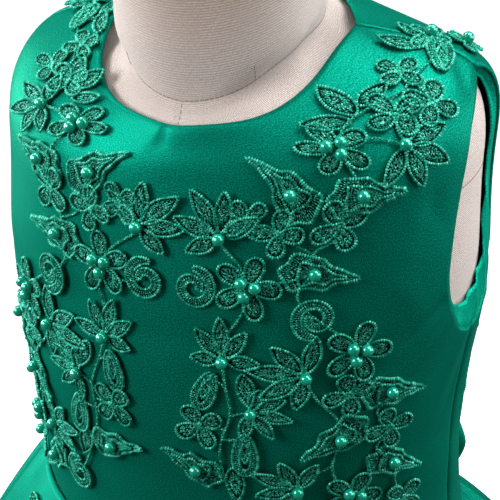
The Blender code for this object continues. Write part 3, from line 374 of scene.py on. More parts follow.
def make_net():
    """The ground inside a petal: broken loops of thread on dark net, which fade toward the border cord."""
    made, add, join = start_material(
        "lace net", NET_DARK, 0.55, **{"Specular IOR Level": 0.12, "Specular Tint": (0.05, 1.0, 0.7, 1)})
    flat = cloth_place(add)
    line = ramp(add, noise(add, flat, 780.0, 1.0), (0.42, 0.0), (0.48, 1.0), (0.53, 1.0), (0.59, 0.0))
    breaks = ramp(add, noise(add, flat, 1100.0, 1.0), (0.40, 0.15), (0.56, 1.0))
    fill = add("ShaderNodeAttribute", attribute_name=FILL).outputs["Fac"]
    bright = worked(add, "MULTIPLY", worked(add, "MULTIPLY", line, breaks), fill)
    join(ramp(add, bright, (0.05, NET_DARK), (0.35, NET_MIDDLE), (0.85, THREAD_LIGHT)), "Base Color")
    join(bump(add, bright, 0.0004, 0.9), "Normal")
    return made


def make_pearl():
    made, add, join = start_material(
        "green pearl", (0.002, 0.440, 0.280), 0.20, metallic=0.38,
        **{"Coat Weight": 1.0, "Coat Roughness": 0.07, "Specular Tint": (0.5, 1.0, 0.85, 1)})
    cloud = noise(add, own_place(add), 260.0)
    join(ramp(add, cloud, (0.3, (0.001, 0.340, 0.215)), (0.7, (0.007, 0.490, 0.320))), "Base Color")
    return made


thread, net, pearl = make_thread(), make_net(), make_pearl()
print("finishes:", thread.name, net.name, pearl.name)

# %% Jersey, wood and steel
JERSEY = (0.600, 0.520, 0.490)
WALE, COURSE = 0.00125, 0.00100
# Painted shade: a darker, browner patch on the front of the neck.
NECK_SHADE_PLACE, NECK_SHADE_TINT = (0.012, -0.068, 1.110), (0.76, 0.66, 0.57)
BAND_PERIOD = math.pi / 10


def make_jersey():
    """Fine knit: columns of small loops, a little lighter on their crowns, with darker specks between, and a
    patch of painted shade on the front of the neck.
    """
    made, add, join = start_material(
        "knit jersey", JERSEY, 0.85, **{"Sheen Weight": 0.4, "Sheen Roughness": 0.5})
    flat = cloth_place(add)
    wales = bands(add, flat, "X", BAND_PERIOD / WALE, 1.2)
    courses = bands(add, flat, "Y", BAND_PERIOD / COURSE, 1.5)
    loops = worked(add, "MULTIPLY", wales, courses)
    speck = noise(add, flat, 1000.0, 2.0, 0.7)
    mixed = add("ShaderNodeMix", {2: loops, 3: speck}, {0: 0.55}, data_type="FLOAT").outputs[0]
    knit = ramp(add, mixed, (0.18, (0.30, 0.22, 0.18)), (0.40, (0.66, 0.56, 0.52)),
                (0.60, (0.93, 0.86, 0.83)))
    # Painted shade: the knit colour is darkened round one place on the neck.
    away = add("ShaderNodeVectorMath", {0: own_place(add)}, {1: NECK_SHADE_PLACE}, operation="DISTANCE")
    painted_neck_shade = ramp(add, away.outputs["Value"], (0.010, NECK_SHADE_TINT), (0.060, 1.0))
    shaded_knit = add("ShaderNodeMix", {6: knit, 7: painted_neck_shade}, {0: 1.0}, data_type="RGBA", blend_type="MULTIPLY")
    join(shaded_knit.outputs[2], "Base Color")
    join(bump(add, mixed, 0.00050, 0.9), "Normal")
    return made


def make_wood():
    made, add, join = start_material("pale wood", (0.50, 0.34, 0.20), 0.35, **{"Coat Weight": 0.3})
    drawn = add("ShaderNodeMapping", {"Vector": own_place(add)}, {"Scale": (1.0, 0.12, 1.0)})
    rings = bands(add, drawn.outputs["Vector"], "X", 55.0, 4.0, 2.0, 1.0)
    join(ramp(add, rings, (0.2, (0.60, 0.43, 0.27)), (0.8, (0.42, 0.27, 0.15))), "Base Color")
    join(bump(add, rings, 0.0001, 0.3), "Normal")
    return made


def make_steel():
    made, add, join = start_material("painted steel", (0.60, 0.60, 0.59), 0.38, metallic=0.7)
    place = own_place(add)
    cloud = noise(add, place, 24.0)
    join(ramp(add, cloud, (0.3, (0.54, 0.54, 0.53)), (0.7, (0.66, 0.66, 0.65))), "Base Color")
    join(bump(add, noise(add, place, 420.0), 0.00008, 0.35), "Normal")
    return made


jersey, wood, steel = make_jersey(), make_wood(), make_steel()
print("finishes:", jersey.name, wood.name, steel.name)

# %% [markdown]
# ## Creases
# New satin has few creases, and they say where it is pulled: short fans under the arm, a pucker at the
# neckline, drag lines toward the side seams. Each is a row in a table: where it starts and ends on the body,
# how wide and how deep it is. A crease is then a soft trough or ridge along that line, fading at both ends.
# %% Crease tables and the function that reads them
# Columns: angle, up, to_angle, to_up, width_mm, depth_mm
FRONT_CREASES = (
    (-4.0, 0.2425, -3.0, 0.2280, 2.6, -0.9), (-7.5, 0.2420, -8.5, 0.2200, 4.0, 0.5),
    (66.0, 0.1350, 55.0, 0.1180, 3.4, -0.9), (70.0, 0.1260, 58.0, 0.1020, 3.8, 0.8),
    (76.0, 0.1150, 66.0, 0.0920, 3.2, -0.9), (80.0, 0.1080, 72.0, 0.0780, 3.6, 0.7),
    (84.0, 0.1010, 76.0, 0.0640, 3.0, -0.6), (83.0, 0.0560, 66.0, 0.0500, 4.2, -0.7),
    (84.0, 0.0330, 68.0, 0.0300, 4.0, 0.6), (84.0, 0.0120, 70.0, 0.0100, 3.6, -0.6),
    (-66.0, 0.1350, -56.0, 0.1200, 3.4, -0.8), (-71.0, 0.1250, -60.0, 0.1000, 3.8, 0.7),
    (-77.0, 0.1130, -68.0, 0.0880, 3.4, -0.8), (-82.0, 0.1040, -74.0, 0.0700, 3.2, 0.6),
    (-83.0, 0.0600, -66.0, 0.0520, 4.2, -0.6), (-83.0, 0.0250, -68.0, 0.0220, 3.8, -0.6),
    (64.0, 0.2000, 58.0, 0.1700, 6.0, -0.7), (-66.0, 0.2000, -60.0, 0.1650, 6.0, -0.7),
    (20.0, 0.1250, -12.0, 0.1180, 9.0, -0.5), (26.0, 0.0850, -4.0, 0.0700, 10.0, 0.5),
    (-10.0, 0.0350, -40.0, 0.0300, 9.0, -0.5), (24.0, 0.0220, 8.0, -0.0100, 6.0, -0.6),
    (52.0, 0.1500, 60.0, 0.1250, 8.0, 0.6), (12.0, 0.2200, -14.0, 0.2120, 10.0, 0.4),
    (87.0, 0.2400, 76.0, 0.2300, 2.4, -0.8), (87.0, 0.2310, 77.0, 0.2240, 2.4, 0.7),
    (87.0, 0.2190, 78.0, 0.2120, 2.6, -0.8), (-87.0, 0.2360, -77.0, 0.2280, 2.4, -0.8),
    (-87.0, 0.2230, -78.0, 0.2160, 2.6, -0.7), (58.0, 0.1900, 66.0, 0.1720, 4.0, -0.5),
)
BACK_CREASES = (
    (105.0, 0.1350, 118.0, 0.1150, 3.6, -0.8), (98.0, 0.1180, 110.0, 0.0950, 3.6, 0.7),
    (91.0, 0.1070, 100.0, 0.0780, 3.2, -0.8), (88.0, 0.0850, 96.0, 0.0500, 3.2, 0.6),
    (87.0, 0.0400, 104.0, 0.0320, 4.2, -0.7), (87.0, 0.0150, 100.0, 0.0100, 3.8, 0.5),
    (176.0, 0.0200, 160.0, 0.0260, 5.0, -0.7), (176.0, 0.0480, 162.0, 0.0580, 5.5, 0.5),
    (177.0, 0.1050, 160.0, 0.1200, 6.0, -0.5), (110.0, 0.2000, 120.0, 0.1680, 6.0, -0.7),
    (160.0, 0.2250, 150.0, 0.1950, 7.0, -0.4), (172.0, 0.1700, 150.0, 0.1600, 9.0, 0.4),
)
FACING_CREASES = (
    (96.0, 0.1700, 102.0, 0.1260, 2.4, -1.1), (93.5, 0.1560, 98.0, 0.1160, 2.2, 1.0),
    (90.5, 0.1500, 93.5, 0.1100, 2.4, -1.1), (87.5, 0.1460, 89.5, 0.1060, 2.2, 1.0),
    (84.5, 0.1430, 85.5, 0.1040, 2.4, -1.1), (81.0, 0.1400, 81.5, 0.1050, 2.2, 1.0),
    (77.0, 0.1380, 76.5, 0.1100, 2.4, -1.0), (99.0, 0.1700, 106.0, 0.1500, 2.6, 0.9),
)


def peak(distance, reach):
    """1 on a line, falling softly to 0 beside it."""
    return np.exp(-(distance / reach) ** 2)


def creased(grid, table):
    """Height in metres that the creases add at each (angle, up) of a grid."""
    height = np.zeros(grid.shape[:-1])
    for angle, up, to_angle, to_up, width_mm, depth_mm in table:
        start = np.array([angle, up]) * METRIC
        along = np.array([to_angle, to_up]) * METRIC - start
        place = grid * METRIC - start
        share = (place @ along) / (along @ along)
        across = np.linalg.norm(place - np.clip(share, 0, 1)[..., None] * along, axis=-1)
        fade = np.clip(1.25 - np.abs(share - 0.4) * 1.2, 0, 1)
        height += depth_mm / 1000 * fade * peak(across, width_mm / 1000)
    return height


# %% Mesh helpers
def put(name, data):
    """A new object at the origin, in the scene."""
    obj = bpy.data.objects.new(name, data)
    bpy.context.scene.collection.objects.link(obj)
    return obj


def add_piece(name, points, faces, finish, uv=None, fill=None):
    """A smooth mesh; uv is one pair of metres for each point, and fill one value of the net."""
    mesh = bpy.data.meshes.new(name)
    places = np.reshape(points, (-1, 3)).astype(float)
    mesh.from_pydata(places.tolist(), [], [tuple(map(int, face)) for face in faces])
    mesh.materials.append(finish)
    if uv is not None:
        layer = mesh.uv_layers.new(name=CLOTH_UV)
        corners = np.empty(len(mesh.loops), np.int32)
        mesh.loops.foreach_get("vertex_index", corners)
        layer.data.foreach_set("uv", np.reshape(uv, (-1, 2)).astype(np.float32)[corners].ravel())
    if fill is not None:
        mesh.attributes.new(FILL, "FLOAT", "POINT").data.foreach_set("value", np.asarray(fill, np.float32))
    mesh.shade_smooth()
    return put(name, mesh)


def grid_faces(rows, columns, around=False, flip=False):
    """Quads of a grid that face out when columns run left to right and rows run up."""
    last = columns if around else columns - 1
    r, c = np.meshgrid(np.arange(rows - 1), np.arange(last), indexing="ij")
    n = (c + 1) % columns
    quads = np.stack([r * columns + c, r * columns + n, (r + 1) * columns + n, (r + 1) * columns + c], -1)
    quads = quads.reshape(-1, 4)
    return quads[:, ::-1] if flip else quads


def capped_faces(rows, columns):
    """Faces of stacked rings, with a cap on both ends."""
    last = (rows - 1) * columns
    caps = [range(columns)[::-1], range(last, last + columns)]
    return grid_faces(rows, columns, around=True).tolist() + caps


def give_wall(obj, thickness):
    wall = obj.modifiers.new("wall", "SOLIDIFY")
    wall.thickness = thickness
    wall.offset = -1.0
    wall.use_even_offset = True
    return obj


def to_edges(points):
    """Distance of each grid point from the grid's left, right, bottom and top edges, in metres."""
    across = np.linalg.norm(np.diff(points, axis=1), axis=-1)
    upward = np.linalg.norm(np.diff(points, axis=0), axis=-1)
    left = np.concatenate([np.zeros((len(points), 1)), np.cumsum(across, axis=1)], axis=1)
    bottom = np.concatenate([np.zeros((1, points.shape[1])), np.cumsum(upward, axis=0)])
    return left, left[:, -1:] - left, bottom, bottom[-1:] - bottom


def area_of(obj):
    """Area of one side of a piece, in square metres."""
    sizes = np.empty(len(obj.data.polygons))
    obj.data.polygons.foreach_get("area", sizes)
    return float(sizes.sum())


def dress(obj, node=None):
    """Puts a piece on its body and hides the frame's node that it stands for."""
    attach(obj, "root")
    if node:
        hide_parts(node)


def finish_sheet(obj, node, flat, share=1.0):
    dress(obj, node)
    area = flat[0] * flat[1] * share
    print(f"{obj.name}: cloth {area_of(obj):.4f} m2 on a cut of {area:.4f} m2")


# %% [markdown]
# ## The bodice panels
# A bodice panel is a thin shell: its outer face lies on the body surface and the wall goes inward. Where
# panels meet, a real seam pulls the cloth in, so the last few millimetres of each panel dip, which draws
# the seam as a soft ditch. The armholes run on from the side seams and dip with them. The neckline is a
# turned edge: the cloth rolls over it instead, less deep.
# %% Front and back panels
CLOTH_WALL = 0.0010
FINENESS, BACK_FINENESS = 6, 5
SEAM_DIP, SEAM_REACH = 0.0011, 0.0022
EDGE_ROLL, EDGE_REACH = 0.0006, 0.0012
PRINCESS_EASE, EASE_UP, EASE_ROUND = 0.0005, 61, 5
HIGHEST_CREASE = 0.0009
SEWN_EDGES = (1, 1, 1, 0)  # left, right, bottom and top of a panel: 1 dips, 0 rolls over


def panel_cloth(name, grid, table):
    """A panel shell with creases. It dips along its sides and its waist, and rolls over along its top."""
    degrees, up = grid[..., 0], grid[..., 1]
    height = creased(grid, table)
    height += PRINCESS_EASE * np.sin(up * EASE_UP) * np.sin(np.radians(degrees) * EASE_ROUND + 1)
    for distance, sewn in zip(to_edges(body(degrees, up)), SEWN_EDGES):
        depth, reach = (SEAM_DIP, SEAM_REACH) if sewn else (EDGE_ROLL, EDGE_REACH)
        height -= depth * peak(distance, reach)
    points = body(degrees, up, np.minimum(height, HIGHEST_CREASE))
    faces = grid_faces(*grid.shape[:2])
    return give_wall(add_piece(name, points, faces, satin, grid * METRIC), CLOTH_WALL)


left_half, right_half = (drawn_in(half_panel(side, FINENESS)) for side, _ in SIDES)
front_grid = np.concatenate([mirrored(right_half)[:, :-1], left_half], axis=1)
front_panel = panel_cloth("front_panel", front_grid, FRONT_CREASES)
left_grid = drawn_in(half_panel(1, BACK_FINENESS, back=True))
back_left = panel_cloth("back_panel_left", left_grid, BACK_CREASES)
right_creases = [(-a, u, -b, v, w, d) for a, u, b, v, w, d in BACK_CREASES]
right_grid = mirrored(drawn_in(half_panel(-1, BACK_FINENESS, back=True)))
back_right = panel_cloth("back_panel_right", right_grid, right_creases)
finish_sheet(front_panel, "bodice_front", (0.44, 0.30), share=0.60)
finish_sheet(back_left, "bodice_back_left", (0.23, 0.30), share=0.66)
finish_sheet(back_right, "bodice_back_right", (0.23, 0.30), share=0.66)

# %% Armhole facings
FACING_WIDTH, FACING_WALL = 0.012, 0.0008
FACING_INSET, FACING_DEPTH = 0.0010, 0.0012
FACING_GAP, FACING_SLACK = 0.0010, 0.0038
LIP_REACH, LIP_DEPTH, LIP_CREASE, LIP_BACK = 0.0125, 0.0020, 0.0010, 0.7
LIP_START, LIP_RAMP, LIP_BACK_START, LIP_BACK_RAMP = 67, 12, 76, 14
LIP_TOP, LIP_TOP_BACK, LIP_FALL, LIP_FALL_BACK = 0.200, 0.012, 0.065, 0.025
ARMHOLE_MIDDLE = (90.0, 0.163)


def facing_cloth(name, side):
    """The band turned inside an armhole. Behind the arm it rolls in toward the form, in small creases."""
    halves = curve_through(ARMHOLE_FRONT[::-1], 70), curve_through(ARMHOLE_BACK, 80)
    loop = np.concatenate([half[:-1] for half in halves])
    away = unit((loop - ARMHOLE_MIDDLE) * METRIC)
    back = np.clip((loop[:, 0] - LIP_BACK_START) / LIP_BACK_RAMP, 0, 1)
    below_top = LIP_TOP + LIP_TOP_BACK * back - loop[:, 1]
    top = np.clip(below_top / (LIP_FALL - LIP_FALL_BACK * back), 0, 1)
    behind = smooth_share((loop[:, 0] - LIP_START) / LIP_RAMP) * top * (1 + LIP_BACK * back)
    shares = np.concatenate([np.linspace(-1, 0, 6)[:-1], np.linspace(0, 1, 6)])[:, None]
    reaches = FACING_INSET + shares * np.where(shares < 0, LIP_REACH * behind, FACING_WIDTH - FACING_INSET)
    grid = loop + away * reaches[..., None] / METRIC
    lip = np.clip(-shares, 0, 1) * np.minimum(behind, 1)
    slack = FACING_GAP + FACING_SLACK * shoulder_share(grid[..., 1])
    inside = FACING_DEPTH + slack * np.clip(np.abs(shares) / 0.5, 0, 1) + LIP_DEPTH * lip ** 1.5
    ripple = np.clip(creased(grid, FACING_CREASES), -LIP_CREASE, LIP_CREASE)
    ripple *= 0.3 + 0.7 * np.clip(4 * lip, 0, 1)
    points = body(side * grid[..., 0], grid[..., 1], ripple - inside)
    faces = grid_faces(*grid.shape[:2], around=True, flip=side < 0)
    # The facing takes the lightened satin copy: painted light inside the armhole.
    return give_wall(add_piece(name, points, faces, lightened_facing_satin, grid * METRIC), FACING_WALL)


for side, name in SIDES:
    cloth = facing_cloth(f"armhole_band_{name}", side)
    finish_sheet(cloth, f"armhole_facing_{name}", (0.33, 0.022), share=0.80)

# %% [markdown]
# ## The skirt
# The skirt is cut wider than the waist and gathered into it, mostly from the side seams backward. So two
# sizes of fold meet: long soft folds that widen toward the hem, and short fine gathers that die out a hand's
# width below the seam. The long folds follow the frame's own table, and the gathers are added on top.
# %% Skirt surface
SKIRT_FOLDS = 20
GATHER_START = 61.0
# Columns: drop, front_out, side_out, back_out, fold_depth, gather_depth
SKIRT_ROWS = (
    (0.000, 0.0000, 0.0000, 0.0000, 0.0000, 0.0000),
    (0.012, 0.0070, 0.0090, 0.0150, 0.0003, 0.0024),
    (0.035, 0.0190, 0.0250, 0.0410, 0.0012, 0.0040),
    (0.080, 0.0420, 0.0530, 0.0790, 0.0035, 0.0065),
    (0.150, 0.0720, 0.0880, 0.1180, 0.0070, 0.0095),
    (0.250, 0.1100, 0.1300, 0.1600, 0.0110, 0.0130),
    (0.400, 0.1580, 0.1820, 0.2100, 0.0160, 0.0175),
    (0.580, 0.2040, 0.2320, 0.2540, 0.0210, 0.0215),
)
SKIRT_LENGTH = SKIRT_ROWS[-1][0]
skirt_at = spline_through(SKIRT_ROWS)


def fold_wave(degrees):
    """Uneven folds round the skirt, from -1 to 1."""
    angle = np.radians(degrees)
    phase = SKIRT_FOLDS * angle + 0.9 * np.sin(2 * angle + 0.4) + 0.6 * np.sin(5 * angle + 1.3)
    return np.cos(phase) * (0.80 + 0.20 * np.sin(3 * angle + 2.0))


def gathered_share(degrees):
    turned_round = (degrees + 180) % 360 - 180
    return 1 / (1 + np.exp(-(np.abs(turned_round) - GATHER_START) / 6))


def skirt_point(angle, drop, ripple=1.0, lift=0.0):
    """Point of the skirt: angle in radians, drop in metres below the waist seam."""
    degrees = np.degrees(angle)
    front_out, side_out, back_out, fold, gather = np.moveaxis(skirt_at(drop), -1, 0)
    end_out = np.where(np.cos(angle) > 0, front_out, back_out)
    out = side_out + (end_out - side_out) * np.cos(angle) ** 2
    seam = waist_line((degrees + 180) % 360 - 180)
    start = body_point(angle, seam)
    depth = fold + (gather - fold) * gathered_share(degrees)
    reach = out + fold_wave(degrees) * depth * ripple + depth * (1 - ripple) + lift
    place = start[..., :2] + unit(start[..., :2]) * reach[..., None]
    shorten = 1 + seam / SKIRT_LENGTH
    return np.concatenate([place, (start[..., 2] - drop * shorten)[..., None]], axis=-1)


# %% Gathers, and the skirt panels
GATHERS_PER_DEGREE = 0.62
GATHER_REACH, GATHER_LEAST, GATHER_RISE = 0.055, 0.012, 0.004
GATHER_DEPTH, SOFT_DEPTH, SOFT_START = 0.0011, 0.0022, 0.16
HEM_TURN, HEM_WIDTH = 0.0015, 0.004
PANEL_GAP = 0.00002
PANEL_DIP, PANEL_DIP_REACH = 0.0010, 0.0028
SKIRT_RADIUS = 0.26  # metres of cloth for a radian round the skirt
SKIRT_GRID_ROWS, ROW_SPREAD = 44, 1.35
WAIST_RADIUS, SKIRT_FLARE = 0.105, 0.36


def gather_height(degrees, drop):
    """Fine gathers under the waist seam, uneven in length, and soft dents between the long folds."""
    angle = np.radians(degrees)
    wander = 0.9 * np.sin(angle * 7 + 1) + 0.5 * np.sin(angle * 17 + 0.4)
    phase = 2 * math.pi * GATHERS_PER_DEGREE * degrees + 1.6 * wander
    length = GATHER_REACH * (1 + 0.45 * np.sin(phase * 0.37 + 1.1) + 0.3 * np.sin(phase * 0.171))
    fine = np.cos(phase + 14 * drop) * np.exp(-(drop / np.maximum(length, GATHER_LEAST)) ** 1.4)
    share = gathered_share(degrees) * 0.85 + 0.15
    soft = np.sin(angle * 31 + 9 * drop) * np.sin(drop * 21 + angle * 3)
    return (share * GATHER_DEPTH * fine * np.clip(drop / GATHER_RISE, 0, 1)
            + SOFT_DEPTH * soft * np.clip(drop / SOFT_START, 0, 1))


def skirt_cloth(name, start, end, per_degree):
    drops = SKIRT_LENGTH * np.linspace(1, 0, SKIRT_GRID_ROWS) ** ROW_SPREAD
    drops[-1] = SEAM_GAP
    inset = np.degrees(PANEL_GAP / (WAIST_RADIUS + SKIRT_FLARE * drops))
    columns = round((end - start) * per_degree) + 1
    degrees = np.linspace(start + inset, end - inset, columns, axis=1)
    angle, drop = np.radians(degrees), np.repeat(drops[:, None], columns, axis=1)
    left, right, _, _ = to_edges(skirt_point(angle, drop))
    lift = gather_height(degrees, drop) - PANEL_DIP * peak(np.minimum(left, right), PANEL_DIP_REACH)
    lift -= HEM_TURN * np.clip(1 - (SKIRT_LENGTH - drop) / HEM_WIDTH, 0, 1)
    points = skirt_point(angle, drop, lift=lift)
    uv = np.stack([angle * SKIRT_RADIUS, -drop], axis=-1)
    return give_wall(add_piece(name, points, grid_faces(*drop.shape), satin, uv), CLOTH_WALL)


for name, node, start, end, per_degree, flat in (
        ("front_skirt", "skirt_front", -SIDE_SEAM, SIDE_SEAM, 1.5, (1.06, 0.62)),
        ("back_skirt_left", "skirt_back_left", SIDE_SEAM, 180.0, 2.4, (0.62, 0.64)),
        ("back_skirt_right", "skirt_back_right", 180.0, 360 - SIDE_SEAM, 2.4, (0.62, 0.64))):
    cloth = skirt_cloth(name, start, end, per_degree)
    finish_sheet(cloth, node, flat, share=0.80)

# %% [markdown]
# ## Corded lace
# This lace is machine embroidery: a satin cord is stitched down as the outline of each petal, and loose
# squiggles of thread fill the inside over dark net. It could be a picture on the cloth, but then it would
# cast no shadow, and this lace stands about a millimetre off the satin, its tips lifting more. So each petal
# is a small domed plate of net with real wrapped cords round and across it. The motifs are listed:
# what each is, where it lies, which way it turns and how large it is.
# %% Motif tables
# Columns: kind, angle, up_mm, turn in degrees clockwise from straight up, reach in mm
LACE = (
    ("butterfly", 40.4, 196, 98, 30),
    ("butterfly", 24.4, 201, -30, 31),
    ("flower4", 35.6, 185, 20, 12.5),
    ("flower4", 22.5, 183, 50, 11.0),
    ("flower4", 15.5, 190, 5, 10.0),
    ("sprig", 10.4, 180, -30, 20),
    ("flower5", 16.4, 154, 20, 17.0),
    ("scroll", 5.2, 151, 0, 10.8),
    ("butterfly", 30.8, 163, 100, 30),
    ("scroll", 31.1, 138, 180, 10.8),
    ("flower5", 41.6, 119, 15, 17.0),
    ("sprig", 29.8, 107, -80, 21),
    ("butterfly", 52.0, 95, 98, 27),
    ("flower4", 40.5, 96, 30, 11.5),
    ("butterfly", 39.6, 72, -122, 30),
    ("flower4", 53.2, 74, 30, 11.5),
    ("butterfly", 55.6, 53, 116, 27),
    ("sprig", 11.3, 113, 0, 18),
    ("loop", 9.0, 105, 200, 19),
    ("leaf", 15.5, 107, 165, 18),
    ("sprig", 17.8, 87, 105, 16),
    ("flower4", 6.0, 76, 15, 12.0),
    ("loop", 16.5, 73, 180, 22),
    ("butterfly", 4.7, 50, -62, 27),
    ("sprig", 29.2, 42, -60, 18),
    ("flower5", 43.8, 36, 25, 16.0),
    ("leaf", 13.5, 54, 175, 20),
    ("scroll", 15.0, 20, 10, 10.5),
    ("butterfly", 29.0, 18, 150, 26),
    ("flower4", 60.0, 27, 0, 11.0),
    ("sprig", 49.0, 13, 175, 15),
)
# Stems and brides that tie the motifs together: points of (angle, up_mm)
STEMS = (
    ((40.4, 196), (36, 190), (36.5, 183), (30, 172), (30.8, 163)),
    ((24.4, 201), (25, 190), (25.5, 181), (31, 172)),
    ((17.5, 190), (14, 183), (10.4, 180), (14, 168), (16.4, 154)),
    ((15.5, 190), (22.5, 183)),
    ((5.5, 151), (12, 148), (16.4, 154), (24, 158), (30.8, 163)),
    ((30.8, 163), (27, 150), (31, 138), (37, 128), (41.6, 119)),
    ((16.4, 154), (15, 138), (12, 126), (11.3, 113), (12, 98), (13, 84), (11, 70), (11, 50), (15, 20)),
    ((31, 128), (29.8, 107), (34, 92), (38, 84), (39.6, 72), (38, 56), (40, 44), (43.8, 36)),
    ((41.6, 119), (44, 104), (52, 95), (49, 84), (53.6, 75), (50, 64), (55.6, 53), (57, 38), (61, 27)),
    ((41, 95), (44, 104)),
    ((29.2, 42), (30, 30), (29, 20), (22, 16), (15, 20)),
    ((43.8, 36), (47, 26), (50, 16)),
    ((29.2, 42), (34, 52), (38, 56)),
    ((50, 16), (57, 20), (61, 27)),
    ((4.7, 50), (11, 50)),
    ((17.8, 87), (13, 84)),
    ((9.5, 103), (12, 99)),
    ((6, 76), (12, 76)),
    ((16, 71), (11, 70)),
)
# The right half is the mirror of the left one, laid with a lean in degrees a metre
RIGHT_LEAN = 130.0
RIGHT_PIVOT_UP = 0.146
LEAN_TURN = 14.0

# Lace over the left shoulder, which runs on from the left half
YOKE_LEFT = (
    ("flower5", 38.6, 215, 8, 16.5),
    ("leaf", 49.5, 222, 8, 24),
    ("leaf", 47.5, 221, -60, 21),
    ("leaf", 52.5, 224, 85, 18),
    ("sprig", 52.9, 208, 132, 20),
    ("flower4", 56.5, 217, 45, 12.5),
    ("flower4", 66.2, 214, 10, 12.0),
    ("flower4", 68.9, 225, 45, 10.5),
    ("loop", 77.5, 219, 62, 21),
    ("leaf", 82.0, 226, -15, 20),
    ("leaf", 87.0, 228, 50, 18),
    ("bud", 101.5, 218, 20, 10.0),
    ("bud", 92.5, 226, 60, 10.0),
)
YOKE_LEFT_STEMS = (
    ((101.5, 218), (96, 222), (92.5, 226), (82, 223), (72, 222), (62, 221), (52, 222), (44, 220), (38, 215)),
    ((52.9, 208), (47, 214), (40, 215)),
    ((38, 212), (40, 196)),
    ((66.2, 214), (68, 220), (68.9, 225)),
)
YOKE_RIGHT = (
    ("flower5", -28.8, 219, -8, 16.5),
    ("leaf", -43.0, 226, -5, 23),
    ("leaf", -45.0, 227, -58, 21),
    ("leaf", -38.5, 224, 25, 16),
    ("sprig", -41.7, 215, -132, 20),
    ("flower4", -46.0, 226, 45, 11.5),
    ("flower4", -55.0, 223, 10, 11.0),
    ("flower4", -60.0, 233, 45, 10.5),
    ("loop", -70.0, 230, -62, 20),
    ("leaf", -64.0, 238, -80, 18),
    ("leaf", -74.0, 238, -60, 18),
    ("bud", -86.5, 231, 20, 10.0),
    ("bud", -97.0, 225, 60, 10.0),
)
YOKE_RIGHT_STEMS = (
    ((-97, 225), (-91, 229), (-86.5, 231), (-78, 231), (-70, 231), (-60, 231), (-50, 228),
     (-40, 225), (-29, 219)),
    ((-41.7, 215), (-36, 218), (-29, 219)),
    ((-29, 216), (-30, 206), (-33.5, 196)),
    ((-64, 238), (-61, 233)),
    ((-74, 238), (-72, 231)),
    ((-55, 223), (-50, 228)),
)

# Lace of the back, left half
BACK_LACE = (
    ("flower5", 150.0, 205, 0, 16.0),
    ("sprig", 137.0, 196, 60, 18),
    ("butterfly", 152.0, 176, 200, 28),
    ("flower4", 138.0, 174, 20, 11.5),
    ("scroll", 146.0, 150, 0, 10.6),
    ("flower5", 135.0, 134, 10, 16.0),
    ("sprig", 121.0, 128, 90, 18),
    ("butterfly", 136.0, 106, 170, 28),
    ("flower4", 120.0, 103, 30, 11.5),
    ("sprig", 115.0, 84, 60, 16),
    ("flower5", 130.0, 74, 15, 16.0),
    ("butterfly", 117.0, 50, 130, 27),
    ("leaf", 133.0, 56, 190, 19),
    ("flower4", 135.0, 32, 10, 11.0),
    ("sprig", 122.0, 24, 90, 15),
)
BACK_STEMS = (
    ((150, 205), (152, 192), (152, 178), (148, 164), (146, 150), (140, 142), (136, 136), (135, 122),
     (134, 108), (131, 92), (130, 78), (132, 60), (133, 46), (134, 34)),
    ((150, 205), (144, 199), (137, 196)),
    ((152, 178), (146, 174), (139, 174)),
    ((136, 136), (129, 132), (122, 128)),
    ((134, 108), (127, 104), (120, 102), (117, 93), (116, 84)),
    ((130, 78), (124, 64), (120, 52), (121, 38), (122, 26)),
)
# Lace that runs over the waist seam on to the skirt: angle, and mm below the seam as minus
SKIRT_LACE = (
    ("sprig", 49.0, -17, 170, 18),
    ("leaf", 54.0, -26, 195, 17),
    ("flower4", 43.0, -15, 20, 10.5),
)
SKIRT_STEMS = (
    ((43, -15), (49, -17), (52, -24), (54, -30)),
)

# %% [markdown]
# ### Petals, leaves and wings
# Each outline is drawn upright in millimetres, with its stalk at the origin. One blade, as a petal or a leaf
# is called here, gives its border line, rings that fill it with net, and a zigzag of stitches over the net. A
# wing also has an inner line, and short ribs between it and the border. A blade rises toward its tip, by a
# curl drawn at random.
# %% Outlines
LEAF_FULLNESS = 1.12
LINE_POINTS = 28
CURVE_STEPS = 4


def leaf_outline(length, width):
    share = (1 - np.cos(np.linspace(0, math.pi, LINE_POINTS // 2 + 1))) / 2
    half = np.clip(np.sin(math.pi * share ** 0.85), 0, 1) ** 0.8 * width * LEAF_FULLNESS / 2
    side = np.column_stack([half, share * length])
    return np.concatenate([side[:-1], (side * (-1, 1))[:0:-1]])


def petal_outline(length, width):
    turns = np.linspace(math.pi, -math.pi, LINE_POINTS + 1)[:-1]
    rise = (1 + np.cos(turns)) / 2
    return np.column_stack([np.sin(turns) * width / 2 * (0.45 + 0.55 * rise), rise * length])


def smooth_loop(corners):
    """Closed curve through given corners."""
    corners = np.array(corners, float)
    before, after, beyond = (np.roll(corners, shift, axis=0) for shift in (1, -1, -2))
    share = np.linspace(0, 1, CURVE_STEPS, endpoint=False)[:, None, None]
    curve = (corners + share * (after - before) / 2
             + share ** 2 * (2 * before - 5 * corners + 4 * after - beyond) / 2
             + share ** 3 * (3 * corners - before - 3 * after + beyond) / 2)
    return curve.transpose(1, 0, 2).reshape(-1, 2)


def turned(points, degrees):
    """Points turned clockwise about the origin; a height in a third column stays."""
    angle = math.radians(degrees)
    matrix = np.array([[math.cos(angle), -math.sin(angle)], [math.sin(angle), math.cos(angle)]])
    return np.concatenate([points[..., :2] @ matrix, points[..., 2:]], axis=-1)


def unit_turns(count):
    """Even turns round a full circle, in radians."""
    return np.linspace(0, math.tau, count, endpoint=False)


